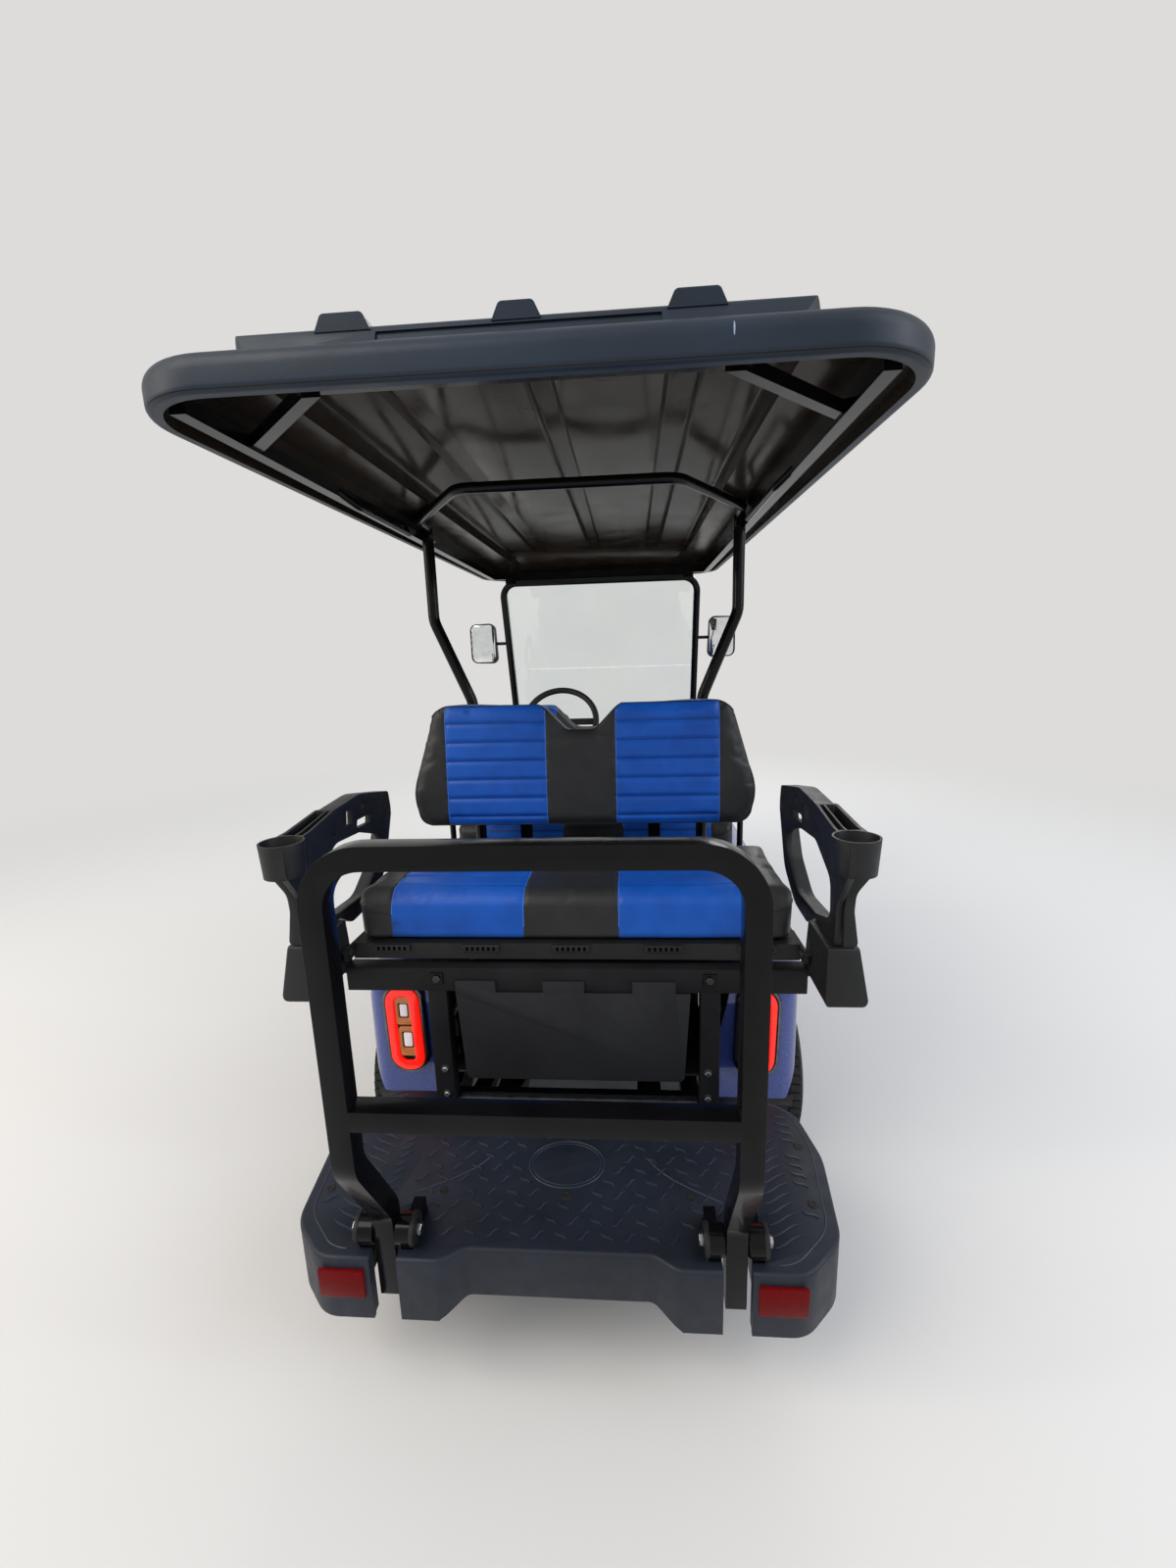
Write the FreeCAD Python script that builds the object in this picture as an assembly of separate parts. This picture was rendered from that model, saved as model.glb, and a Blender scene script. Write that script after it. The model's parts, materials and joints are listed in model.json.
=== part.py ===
"""Four-seat golf cart with a folding rear seat, a footplate, a grab bar and a long roof.

Units are millimetres. X is to the right seen from behind, Y is forward, Z is up. The origin is on the
ground, in the middle of the cart's length and width. Each sub-part is one STEP file in parts/.
"""
import FreeCAD, Part
import math
import os

V = FreeCAD.Vector

# Running gear
WHEELBASE = 1670.0
REAR_AXLE_Y = -675.0
FRONT_AXLE_Y = REAR_AXLE_Y + WHEELBASE
REAR_TRACK_HALF = 500.0
FRONT_TRACK_HALF = 450.0
TYRE_RADIUS = 230.0
TYRE_HALF_WIDTH = 102.5
BEAD_RADIUS = 127.0
RIM_HALF_WIDTH = 89.0
RIM_FLANGE_RADIUS = 136.0
RIM_WELL_RADIUS = 116.0
RIM_WALL = 5.0
RIM_WINDOWS = 7
HUB_RADIUS = 44.0
SPINDLE_RADIUS = 16.0
RUNNING_FIT = 0.06
SEAT_GAP = 0.3
SPINDLE_REACH = 8.0
HUB_INNER = -28.0
HUB_OUTER = 34.0
DRUM_RADIUS = 86.0
DRUM_WIDTH = 30.0
DRUM_GAP = 6.0

# Chassis
RAIL_INNER_X = 150.0
RAIL_WIDTH = 60.0
RAIL_BOTTOM = 265.0
RAIL_TOP = 345.0
RAIL_REAR_Y = -1040.0
RAIL_FRONT_Y = 1440.0
POST_Y = -1055.0
POST_X = 322.5
POST_SIZE = 45.0

# Steering
KINGPIN_X = 370.0
KINGPIN_RADIUS = 12.0
STEER_ARM = 100.0
RACK_RADIUS = 11.0
RACK_GAP = 2.0
ROD_END_X = 312.0
ROD_END_RADIUS = 15.0
ROD_END_HEIGHT = 24.0
EYE_RADIUS = 24.0
COLUMN_TILT = 35.0
STEERING_WHEEL_X = -180.0
STEERING_WHEEL_Y = 475.0
STEERING_WHEEL_Z = 1135.0
STEERING_WHEEL_RADIUS = 165.0
GRIP_RADIUS = 14.0

# Body shells
WALL = 5.0
BODY_REAR_Y = -955.0
BODY_HALF_WIDTH = 605.0
BODY_BOTTOM = 330.0
FENDER_TOP = 645.0
FENDER_ROUND = 90.0
TAIL_BOTTOM = 290.0
FENDER_EDGE = 303.0
APRON_BOTTOM = 250.0
APRON_INNER_X = 406.0
APRON_OUTER_X = 555.0
POD_REAR_Y = -330.0
POD_FRONT_Y = 275.0
POD_HALF_WIDTH = 580.0
POD_TOP = 700.0
ARCH_RADIUS = 282.0
FRONT_ARCH_RADIUS = 300.0
FLOOR_TOP = 365.0
FLOOR_THICKNESS = 12.0
FLOOR_HALF_WIDTH = 552.0
COWL_REAR_Y = 705.0
COWL_FRONT_Y = 1535.0
COWL_HALF_WIDTH = 566.0
COWL_BOTTOM = 340.0
COWL_TOP = 950.0
COWL_ROUND = 34.0
BUMPER_FRONT_Y = 1575.0
BUMPER_BOTTOM = 205.0

# Seats
SEAT_HALF_WIDTH = 524.0
BACK_HALF_WIDTH = SEAT_HALF_WIDTH - 4.0
FLIP_AXIS_Y = -1073.0
FLIP_AXIS_Z = 757.0
DECK_CLIP_X = (-430, -215, 0, 215, 430)
DECK_CLIP_WIDTH = 88.0
FLIP_PIN_RADIUS = 8.0
DECK_REAR_Y = -1055.0
DECK_BOTTOM = 733.0
DECK_TOP = 773.0
DECK_FRONT_Y = -640.0
CUSHION_TOP = 900.0
BACK_THICKNESS = 92.0
BACK_LEAN = 6.0

# Rear platform
PLATE_REAR_Y = -1487.0
PLATE_TOP = 357.0
PLATE_THICKNESS = 9.0
PLATE_HALF_WIDTH = 548.0
BAR_SIZE = 38.0
BAR_X = 324.0
BAR_TOP = 1177.0
BAR_UPPER_Y = -1556.0
BAR_LOWER_Y = -1448.0
BAR_BOTTOM = 255.0
BAR_CORNER = 100.0
STEP_BAR_TOP = 741.0
STEP_BAR_HEIGHT = 36.0
EAR_RADIUS = 27.0
EAR_WIDTH = 36.0
EAR_LIFT = 30.0
EAR_GAP = 2.0
PLATE_SKIRT = 135.0
PLATE_DEPTH = 455.0
PLATE_ROUND = 8.0
LOBE_INNER_X = 214.0
SLOT_GAP = 7.0
BOLT_RADIUS = 6.0

# Roof and its frame
ROOF_REAR_Y = -1490.0
ROOF_FRONT_Y = 830.0
ROOF_HALF_WIDTH = 592.0
ROOF_TAPER = 30.0
ROOF_CORNER = 150.0
ROOF_SHEET = 6.0
ROOF_LIP_WIDTH = 22.0
ROOF_LIP_BOTTOM = 1803.0
ROOF_LIP_TOP = ROOF_LIP_BOTTOM + 58.0
ROOF_DECK_TOP = ROOF_LIP_TOP + 38.0
ROOF_HUMP_TOP = ROOF_DECK_TOP + 15.0
ROOF_BEAM_BOTTOM = ROOF_LIP_BOTTOM + 22.0
ROOF_BEAM_X = 510.0
ROOF_DECK_X = 424.0
ROOF_DECK_REAR_Y = ROOF_REAR_Y + 42.0
ROOF_SLOPE_Y = ROOF_FRONT_Y - 270.0
ROOF_WALL = 14.0
ROOF_HUMP_X = 248.0
ROOF_HUMP_WIDTH = 72.0
DISH_HALF_WIDTH = 386.0
STRUT_Y = -335.0
STRUT_RADIUS = 18.0
LEAF_HALF = STRUT_Y - REAR_AXLE_Y
MOTOR_RADIUS = 86.0

# Rear seat frame, arms and bin
DECK_HALF_WIDTH = SEAT_HALF_WIDTH + 3.0
LUG_THICKNESS = 6.0
BEAM_HALF_LENGTH = DECK_HALF_WIDTH + LUG_THICKNESS + 7.0
BEAM_BOTTOM = 661.0
BEAM_TOP = 720.0
SEAT_ARM_FRONT_Y = -560.0
BACK_POST_X = 380.0
BACK_BOTTOM = 930.0
BACK_TOP = 1310.0
BACK_VALLEY = 1235.0
BACK_FACE_Y = -632.0
BIN_REAR_Y = POST_Y - POST_SIZE / 2 - WALL
BIN_HOOKS = ((-276, -180), (-68, 30), (142, 242))
BIN_DEPTH = 250.0
BIN_BOTTOM = 431.0
BIN_TOP = 690.0
BASE_INNER_X = BEAM_HALF_LENGTH + 1.0
BASE_WIDTH = 90.0
BASE_BOTTOM = BEAM_TOP - 20.0
BASE_TOP = BEAM_TOP + 106.7
BASE_FRONT_Y = POST_Y + 20.0
BASE_LENGTH = 166.0
ARM_FOOT_Z = BASE_TOP + SEAT_GAP
ARM_INNER_X = BASE_INNER_X + 21.0
ARM_THICKNESS = 40.0
ARM_WEB = 14.0
ARM_BAND = 14.0
ARM_CUP_X = ARM_INNER_X + 25.0
CUP_RADIUS = 42.0
CUP_DEPTH = 68.0
CUP_Y = BASE_FRONT_Y - 158.0
CUP_WALL = 4.0
POCKET_LENGTH = 150.0
POCKET_DEPTH = 36.0
POCKET_FLOOR = 18.0
CUP_RIM_Z = ARM_FOOT_Z + 243.0

# Front seat, dash, screen and steering details
FRONT_BACK_BOTTOM = 905.0
FRONT_BACK_TOP = 1282.0
FRONT_BACK_FACE_Y = -185.0
FRONT_SEAT_REAR_Y = -178.0
FRONT_SEAT_FRONT_Y = 285.0
FRONT_CUSHION_TOP = 830.0
FLOOR_TOE_TOP = 742.0
DASH_REAR_Y = 850.0
DASH_HALF_WIDTH = 500.0
COLUMN_RADIUS = 24.0
COLUMN_SPINDLE_RADIUS = 12.0
COLUMN_LENGTH = 560.0
RACK_Y = FRONT_AXLE_Y - STEER_ARM
RACK_Z = RAIL_TOP + 27.0
RACK_HOUSING_HALF = 205.0
LOWER_ARM_Z = 160.0
UPPER_ARM_Z = 292.0
EYE_HEIGHT = 24.0
STEER_ARM_THICKNESS = 14.0
TOWER_TOP = 470.0
LEAF_X = 275.0
LEAF_RISE = 78.0
WS_SIZE = 30.0
WS_HALF_WIDTH = 475.0
WS_FOOT_Y = 1045.0
WS_FOOT_Z = 880.0
WS_HEAD_Y = 765.0
WS_HEAD_Z = 1788.0
WS_SPLIT_Z = 1362.0
PANE_THICKNESS = 6.0
STRUT_TOP_X = 490.0
ROOF_RAIL_X = 512.0
ROOF_RAIL_SIZE = 25.0
ROOF_RAIL_Z = ROOF_BEAM_BOTTOM - ROOF_RAIL_SIZE / 2
HOOP_X = 270.0
HOOP_Y = -790.0
HOOP_Z = ROOF_LIP_TOP - ROOF_SHEET - 15.0
HANDLE_REAR_Y = -930.0
HANDLE_LENGTH = 430.0
MIRROR_X = 602.0
MIRROR_Z = 1502.0
PEDAL_Y = 700.0
LAMP_RECESS_INSET = 14.0
LAMP_FLANGE = 10.0
LAMP_RING_INSET = 12.0
LAMP_RING_WIDTH = 24.0
LAMP_RING_PROUD = 8.0
LAMP_CELL_PROUD = 3.0
REAR_ARCH_INNER_X = 380.0
BAY_HALF_WIDTH = 292.0
LINER_FRONT_Y = -600.0
LINER_HALF_WIDTH = 345.0
LINER_TOP = 660.0
FRONT_ARCH_INNER_X = 300.0
BODY_OUTSIDE_X = 700.0
BATTERY_HALF_WIDTH = 320.0
BATTERY_TOP = 600.0


def box(x, y, z):
    """A block from its (low, high) spans."""
    return Part.makeBox(x[1] - x[0], y[1] - y[0], z[1] - z[0], V(x[0], y[0], z[0]))


def rod(start, end, radius):
    """A round bar between two points."""
    axis = V(*end) - V(*start)
    return Part.makeCylinder(radius, axis.Length, V(*start), axis)


def rounded_wire(points, place):
    """A closed outline through (u, v, corner radius) points, with tangent arcs at its corners."""
    count = len(points)
    flat = [V(u, v, 0) for u, v, r in points]
    stretches = []
    for i, (u, v, r) in enumerate(points):
        here = flat[i]
        if r <= 0:
            stretches.append((here, None, here))
            continue
        back = (flat[i - 1] - here).normalize()
        ahead = (flat[(i + 1) % count] - here).normalize()
        half = back.getAngle(ahead) / 2
        run = r / math.tan(half)
        centre = here + (back + ahead).normalize() * (r / math.sin(half))
        middle = centre + (here - centre).normalize() * r
        stretches.append((here + back * run, middle, here + ahead * run))
    edges = []
    for i, (first, middle, last) in enumerate(stretches):
        if middle is not None:
            edges.append(Part.Arc(place(first), place(middle), place(last)).toShape())
        following = stretches[(i + 1) % count][0]
        if (following - last).Length > 1e-4:
            edges.append(Part.makeLine(place(last), place(following)))
    return Part.Wire(edges)


def prism(points, plane, low, high):
    """An outline of (u, v, radius) points in plane xy, xz or yz, extruded from low to high."""
    if plane == "xy":
        place = lambda p: V(p.x, p.y, low)
        travel = V(0, 0, high - low)
    elif plane == "xz":
        place = lambda p: V(p.x, low, p.y)
        travel = V(0, high - low, 0)
    else:
        place = lambda p: V(low, p.x, p.y)
        travel = V(high - low, 0, 0)
    return Part.Face(rounded_wire(points, place)).extrude(travel)


def symmetric(points):
    """A right-hand half outline of (u, v, radius) points and its mirror image, as one loop."""
    return points + [(-u, v, r) for u, v, r in reversed(points)]


def moved(points, u, v):
    """An outline of (u, v, radius) points, shifted."""
    return [(a + u, b + v, r) for a, b, r in points]


def mirrored(shape):
    """The same piece on the other side of the cart."""
    return shape.mirror(V(0, 0, 0), V(1, 0, 0))


def fused(pieces):
    """Pieces welded into one solid."""
    return pieces[0].multiFuse(pieces[1:]).removeSplitter()


def pair(shape):
    """A right-hand piece and its left-hand twin."""
    return Part.makeCompound([shape, mirrored(shape)])


def bent_path(points, bend):
    """An open path of straight runs joined by tangent arcs of one radius."""
    knots = [V(*p) for p in points]
    edges = []
    last = knots[0]
    for before, here, after in zip(knots, knots[1:], knots[2:]):
        back = (before - here).normalize()
        ahead = (after - here).normalize()
        half = back.getAngle(ahead) / 2
        run = bend / math.tan(half)
        centre = here + (back + ahead).normalize() * (bend / math.sin(half))
        middle = centre + (here - centre).normalize() * bend
        first = here + back * run
        edges.append(Part.makeLine(last, first))
        last = here + ahead * run
        edges.append(Part.Arc(first, middle, last).toShape())
    edges.append(Part.makeLine(last, knots[-1]))
    return Part.Wire(edges)


def round_bar(points, bend, radius):
    """A bent round bar."""
    path = bent_path(points, bend)
    start = V(*points[0])
    heading = V(*points[1]) - start
    ring = Part.Wire([Part.makeCircle(radius, start, heading)])
    return path.makePipeShell([ring], True, False)


def square_bar(points, bend, across, deep, side):
    """A bent bar of rectangular section; side is the direction of its width across."""
    path = bent_path(points, bend)
    start = V(*points[0])
    heading = (V(*points[1]) - start).normalize()
    u = V(*side).normalize() * (across / 2)
    v = heading.cross(V(*side)).normalize() * (deep / 2)
    corners = [start + u + v, start - u + v, start - u - v, start + u - v, start + u + v]
    section = Part.Wire([Part.makeLine(a, b) for a, b in zip(corners, corners[1:])])
    return path.makePipeShell([section], True, False)


def turned(profile, centre):
    """A lathe form about an axis along X: profile is (x, radius) points, centre is (x, y, z)."""
    points = [V(centre[0] + x, centre[1], centre[2] + r) for x, r in profile]
    points.append(points[0])
    face = Part.Face(Part.Wire([Part.makeLine(a, b) for a, b in zip(points, points[1:])]))
    return face.revolve(V(*centre), V(1, 0, 0), 360)


def softened(shape, radius, keep):
    """Fillets on the edges that keep(edge) chooses."""
    return shape.makeFillet(radius, [e for e in shape.Edges if keep(e)])


def level_edge(z):
    """Chooses the edges that lie at one height."""
    return lambda e: abs(e.BoundBox.ZMin - z) < 0.01 and abs(e.BoundBox.ZMax - z) < 0.01


def rim(x, y):
    """A right-hand wheel rim at its track and axle: barrel, dished disc, spokes and hub."""
    centre = (x, y, TYRE_RADIUS)
    outer = [(-RIM_HALF_WIDTH, RIM_FLANGE_RADIUS), (-83, RIM_FLANGE_RADIUS), (-83, BEAD_RADIUS),
             (-52, BEAD_RADIUS), (-40, RIM_WELL_RADIUS), (20, RIM_WELL_RADIUS), (34, BEAD_RADIUS),
             (83, BEAD_RADIUS), (83, RIM_FLANGE_RADIUS), (RIM_HALF_WIDTH, RIM_FLANGE_RADIUS)]
    inner = [(RIM_HALF_WIDTH, BEAD_RADIUS - RIM_WALL), (36, BEAD_RADIUS - RIM_WALL),
             (20, RIM_WELL_RADIUS - RIM_WALL), (-40, RIM_WELL_RADIUS - RIM_WALL),
             (-54, BEAD_RADIUS - RIM_WALL), (-RIM_HALF_WIDTH, BEAD_RADIUS - RIM_WALL)]
    barrel = turned(outer + inner, centre)
    disc = turned([(12, 20), (34, 30), (26, 60), (48, BEAD_RADIUS - 2), (36, BEAD_RADIUS - 2), (14, 60)], centre)
    hub = Part.makeCylinder(HUB_RADIUS, HUB_OUTER - HUB_INNER, V(x + HUB_INNER, y, TYRE_RADIUS), V(1, 0, 0))
    shape = fused([barrel, disc, hub])
    window = prism([(64, -10, 5), (102, -27, 9), (102, 27, 9), (64, 10, 5)], "yz", x, x + 80)
    window.translate(V(0, y, TYRE_RADIUS))
    windows = []
    for i in range(RIM_WINDOWS):
        cut = window.copy()
        cut.rotate(V(x, y, TYRE_RADIUS), V(1, 0, 0), i * 360 / RIM_WINDOWS)
        windows.append(cut)
    bore_depth = SPINDLE_REACH + 2 - HUB_INNER
    bore = Part.makeCylinder(SPINDLE_RADIUS + RUNNING_FIT, bore_depth,
                             V(x + HUB_INNER, y, TYRE_RADIUS), V(1, 0, 0))
    return shape.cut(Part.makeCompound(windows)).cut(bore)


def tyre(x, y):
    """A right-hand low-profile tyre as one ring, seated on the rim."""
    seat = BEAD_RADIUS + SEAT_GAP
    half = TYRE_HALF_WIDTH
    section = [(-82.5, seat), (-82.5, 140), (-half, 178), (-half + 3, 208), (-80, 226), (0, TYRE_RADIUS),
               (80, 226), (half - 3, 208), (half, 178), (82.5, 140), (82.5, seat)]
    return turned(section, (x, y, TYRE_RADIUS))


def chassis_frame():
    """Ladder frame: two rails, cross-members, spring outriggers and the nose hoop."""
    outer = RAIL_INNER_X + RAIL_WIDTH
    rail = box((RAIL_INNER_X, outer), (RAIL_REAR_Y, RAIL_FRONT_Y), (RAIL_BOTTOM, RAIL_TOP))
    pieces = [rail, mirrored(rail)]
    cross_members = [
        # y, half length, depth in y, bottom, top
        (POST_Y, POST_X + 25, POST_SIZE, RAIL_BOTTOM, RAIL_TOP),
        (REAR_AXLE_Y - LEAF_HALF, 335, 30, RAIL_BOTTOM + 35, RAIL_TOP),
        (REAR_AXLE_Y + LEAF_HALF, BACK_POST_X + 30, 50, RAIL_BOTTOM + 35, RAIL_TOP),
        (-120, 540, 40, RAIL_BOTTOM + 40, RAIL_TOP),
        (POD_FRONT_Y - 45, 540, 40, RAIL_BOTTOM + 40, RAIL_TOP),
        (640, 540, 40, RAIL_BOTTOM + 40, RAIL_TOP),
        (RAIL_FRONT_Y + 20, 330, 50, RAIL_BOTTOM, RAIL_TOP),
    ]
    for y, half, deep, bottom, top in cross_members:
        pieces.append(box((-half, half), (y - deep / 2, y + deep / 2), (bottom, top)))
    return fused(pieces)


def ear_spans():
    """X spans of the two right-hand ears, one on each side of the bar's leg."""
    inner = BAR_X - BAR_SIZE / 2 - EAR_GAP
    outer = BAR_X + BAR_SIZE / 2 + EAR_GAP
    return [(inner - EAR_WIDTH, inner), (outer, outer + EAR_WIDTH)]


def footplate_frame():
    """Tubes under the footplate, with the ears and bolts that hold the grab bar's legs."""
    tube_top = PLATE_TOP - PLATE_THICKNESS
    ear_z = PLATE_TOP + EAR_LIFT
    beam_front = BAR_LOWER_Y + BAR_SIZE / 2 + 62
    pieces = [box((-400, 400), (beam_front - 40, beam_front), (tube_top - 45, tube_top))]
    arm = box((RAIL_INNER_X, RAIL_INNER_X + RAIL_WIDTH), (beam_front - 20, POST_Y - POST_SIZE / 2),
              (tube_top - 58, tube_top - 3))
    pieces += [arm, mirrored(arm)]
    spans = ear_spans()
    for low, high in spans:
        ear = Part.makeCylinder(EAR_RADIUS, high - low, V(low, BAR_LOWER_Y, ear_z), V(1, 0, 0))
        web = box((low + 6, high - 6), (BAR_LOWER_Y - 16, beam_front - 10), (tube_top - 40, ear_z))
        pieces += [ear, web, mirrored(ear), mirrored(web)]
    bolt = rod((spans[0][0] - 9, BAR_LOWER_Y, ear_z), (spans[1][1] + 9, BAR_LOWER_Y, ear_z), BOLT_RADIUS)
    pieces += [bolt, mirrored(bolt)]
    return fused(pieces)


def plate_outline(inset):
    """The footplate seen from above; inset draws the outline inside itself."""
    half = PLATE_HALF_WIDTH - inset
    rear = PLATE_REAR_Y + inset
    front = PLATE_REAR_Y + PLATE_DEPTH - inset
    return symmetric([
        (LOBE_INNER_X - 38, rear + 27, 40), (LOBE_INNER_X + 4, rear, 40), (half - 100, rear, 70),
        (half - 22, rear + 74, 90), (half, rear + 270, 160), (half - 24, rear + 396, 60), (half - 95, front, 40),
    ])


def footplate():
    """Moulded step tray: flat top, skirt with two deeper lobes, slots for the bar's legs."""
    skirt_bottom = PLATE_TOP - PLATE_SKIRT
    skin = softened(prism(plate_outline(0), "xy", skirt_bottom, PLATE_TOP), PLATE_ROUND, level_edge(PLATE_TOP))
    hollow = prism(plate_outline(8), "xy", skirt_bottom - 1, PLATE_TOP - PLATE_THICKNESS)
    shell = skin.cut(hollow)
    side_view = [(PLATE_REAR_Y + 90, skirt_bottom, 0), (PLATE_REAR_Y + 230, PLATE_TOP - 62, 100),
                 (PLATE_REAR_Y + 480, PLATE_TOP - 32, 0), (PLATE_REAR_Y + 480, skirt_bottom - 20, 0),
                 (PLATE_REAR_Y + 90, skirt_bottom - 20, 0)]
    shell = shell.cut(prism(side_view, "yz", -700, 700))
    relief = [(LOBE_INNER_X + 12, skirt_bottom - 10, 0), (LOBE_INNER_X + 12, skirt_bottom + 2, 10),
              (LOBE_INNER_X - 40, skirt_bottom + 32, 24)]
    shell = shell.cut(prism(symmetric(relief), "xz", PLATE_REAR_Y - 20, PLATE_REAR_Y + 120))
    slot_half = BAR_SIZE / 2 + SLOT_GAP
    slot_front = BAR_LOWER_Y + BAR_SIZE / 2 + 18
    slot = prism([(BAR_X - slot_half, PLATE_REAR_Y - 20, 0), (BAR_X + slot_half, PLATE_REAR_Y - 20, 0),
                  (BAR_X + slot_half, slot_front, 14), (BAR_X - slot_half, slot_front, 14)],
                 "xy", skirt_bottom - 10, PLATE_TOP + 10)
    cheeks = []
    for low in (BAR_X - slot_half - 6, BAR_X + slot_half):
        cheek = box((low, low + 6), (PLATE_REAR_Y + 7, BAR_LOWER_Y - 18), (skirt_bottom + 6, PLATE_TOP - 9))
        cheeks += [cheek, mirrored(cheek)]
    shell = fused([shell] + cheeks)
    front = PLATE_REAR_Y + PLATE_DEPTH
    frame_way = box((-POST_X - POST_SIZE, POST_X + POST_SIZE), (front - 12, front + 5),
                    (skirt_bottom, PLATE_TOP - PLATE_THICKNESS))
    cuts = [slot, frame_way]
    for low, high in ear_spans():
        cuts.append(box((low + 5, high - 5), (BAR_LOWER_Y - 17, BAR_LOWER_Y + BAR_SIZE / 2 + 54),
                        (PLATE_TOP - 60, PLATE_TOP + 10)))
    cuts.append(box((POST_X - POST_SIZE / 2 - 2, POST_X + POST_SIZE / 2 + 2),
                    (POST_Y - POST_SIZE / 2 - 2, POST_Y + 200), (PLATE_TOP - 60, PLATE_TOP + 10)))
    for cut in cuts:
        shell = shell.cut(cut).cut(mirrored(cut))
    return shell


def reflectors():
    """Red reflectors on the rear face of the footplate's two lobes."""
    return pair(box((360, PLATE_HALF_WIDTH - 102), (PLATE_REAR_Y - 7, PLATE_REAR_Y), (PLATE_TOP - 82, PLATE_TOP - 22)))


def grab_bar():
    """Upright hoop behind the footplate, with its lower step bar."""
    top = BAR_TOP - BAR_SIZE / 2
    join = STEP_BAR_TOP
    leg = square_bar([(BAR_X, BAR_LOWER_Y, BAR_BOTTOM), (BAR_X, BAR_LOWER_Y, 430),
                      (BAR_X, BAR_UPPER_Y, 625), (BAR_X, BAR_UPPER_Y, join)], 70, BAR_SIZE, BAR_SIZE, (1, 0, 0))
    hoop = square_bar([(BAR_X, BAR_UPPER_Y, join), (BAR_X, BAR_UPPER_Y, top), (-BAR_X, BAR_UPPER_Y, top),
                       (-BAR_X, BAR_UPPER_Y, join)], BAR_CORNER - BAR_SIZE / 2, BAR_SIZE, BAR_SIZE, (0, 1, 0))
    step = box((-BAR_X, BAR_X), (BAR_UPPER_Y - BAR_SIZE / 2, BAR_UPPER_Y + BAR_SIZE / 2),
               (STEP_BAR_TOP - STEP_BAR_HEIGHT, STEP_BAR_TOP))
    shape = fused([leg, mirrored(leg), hoop, step])
    reach = BAR_X + BAR_SIZE
    bolt_hole = rod((-reach, BAR_LOWER_Y, PLATE_TOP + EAR_LIFT), (reach, BAR_LOWER_Y, PLATE_TOP + EAR_LIFT),
                    BOLT_RADIUS + SEAT_GAP)
    return shape.cut(bolt_hole)


def rear_seat_frame():
    """Square posts on the chassis tail, with the beam and arms that carry the flip seat."""
    half = POST_SIZE / 2
    post = box((POST_X - half, POST_X + half), (POST_Y - half, POST_Y + half), (RAIL_TOP, BEAM_TOP))
    beam = box((-BEAM_HALF_LENGTH, BEAM_HALF_LENGTH), (POST_Y - half, POST_Y + half), (BEAM_BOTTOM, BEAM_TOP))
    arm = box((POST_X - half, POST_X + half), (POST_Y, SEAT_ARM_FRONT_Y), (BEAM_TOP - 40, BEAM_TOP))
    front_cross = box((-BACK_POST_X - 15, BACK_POST_X + 15), (SEAT_ARM_FRONT_Y - 30, SEAT_ARM_FRONT_Y + 10),
                      (BEAM_TOP - 40, BEAM_TOP))
    leg = box((RAIL_INNER_X, RAIL_INNER_X + 40), (SEAT_ARM_FRONT_Y - 30, SEAT_ARM_FRONT_Y + 10),
              (RAIL_TOP, BEAM_TOP - 20))
    stop = Part.makeCylinder(15, DECK_BOTTOM - SEAT_GAP - BEAM_TOP, V(POST_X, DECK_FRONT_Y - 40, BEAM_TOP))
    pieces = [beam, front_cross]
    for piece in (post, arm, leg, stop):
        pieces += [piece, mirrored(piece)]
    return fused(pieces)


def rear_seat_deck():
    """Load deck that turns over with the seat: board, side rails and hinge lugs."""
    board = box((-DECK_HALF_WIDTH, DECK_HALF_WIDTH), (DECK_REAR_Y, DECK_FRONT_Y), (DECK_BOTTOM, DECK_TOP))
    pieces = [board]
    lug_out = DECK_HALF_WIDTH + LUG_THICKNESS
    lug = prism([(FLIP_AXIS_Y - 20, FLIP_AXIS_Z - 17, 12), (DECK_REAR_Y + 90, DECK_BOTTOM + 6, 4),
                 (DECK_REAR_Y + 90, DECK_TOP - 6, 4), (FLIP_AXIS_Y - 20, FLIP_AXIS_Z + 15, 12)],
                "yz", DECK_HALF_WIDTH - 1, lug_out)
    hole = rod((DECK_HALF_WIDTH - 40, FLIP_AXIS_Y, FLIP_AXIS_Z), (lug_out + 5, FLIP_AXIS_Y, FLIP_AXIS_Z),
               FLIP_PIN_RADIUS + RUNNING_FIT)
    lug = lug.cut(hole)
    pieces += [lug, mirrored(lug)]
    for x in DECK_CLIP_X:
        hook = prism([(DECK_REAR_Y - 6, DECK_TOP - 20, 2), (DECK_REAR_Y + 1, DECK_TOP - 20, 0),
                      (DECK_REAR_Y + 1, DECK_TOP - 3, 0), (DECK_REAR_Y - 6, DECK_TOP - 3, 3)],
                     "yz", x - DECK_CLIP_WIDTH / 2, x + DECK_CLIP_WIDTH / 2)
        pieces.append(hook)
    return fused(pieces)


def rear_seat_cushion():
    """Rear bench cushion: rounded pad on the deck."""
    rear = DECK_REAR_Y
    front = DECK_FRONT_Y
    side = prism([(rear, DECK_TOP, 6), (front, DECK_TOP, 6), (front, CUSHION_TOP, 40),
                  (rear + 14, CUSHION_TOP, 46)], "yz", -SEAT_HALF_WIDTH, SEAT_HALF_WIDTH)
    plan = prism(symmetric([(SEAT_HALF_WIDTH, rear - 1, 40), (SEAT_HALF_WIDTH, front + 1, 40)]),
                 "xy", DECK_TOP - 1, CUSHION_TOP + 1)
    return side.common(plan)


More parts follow.
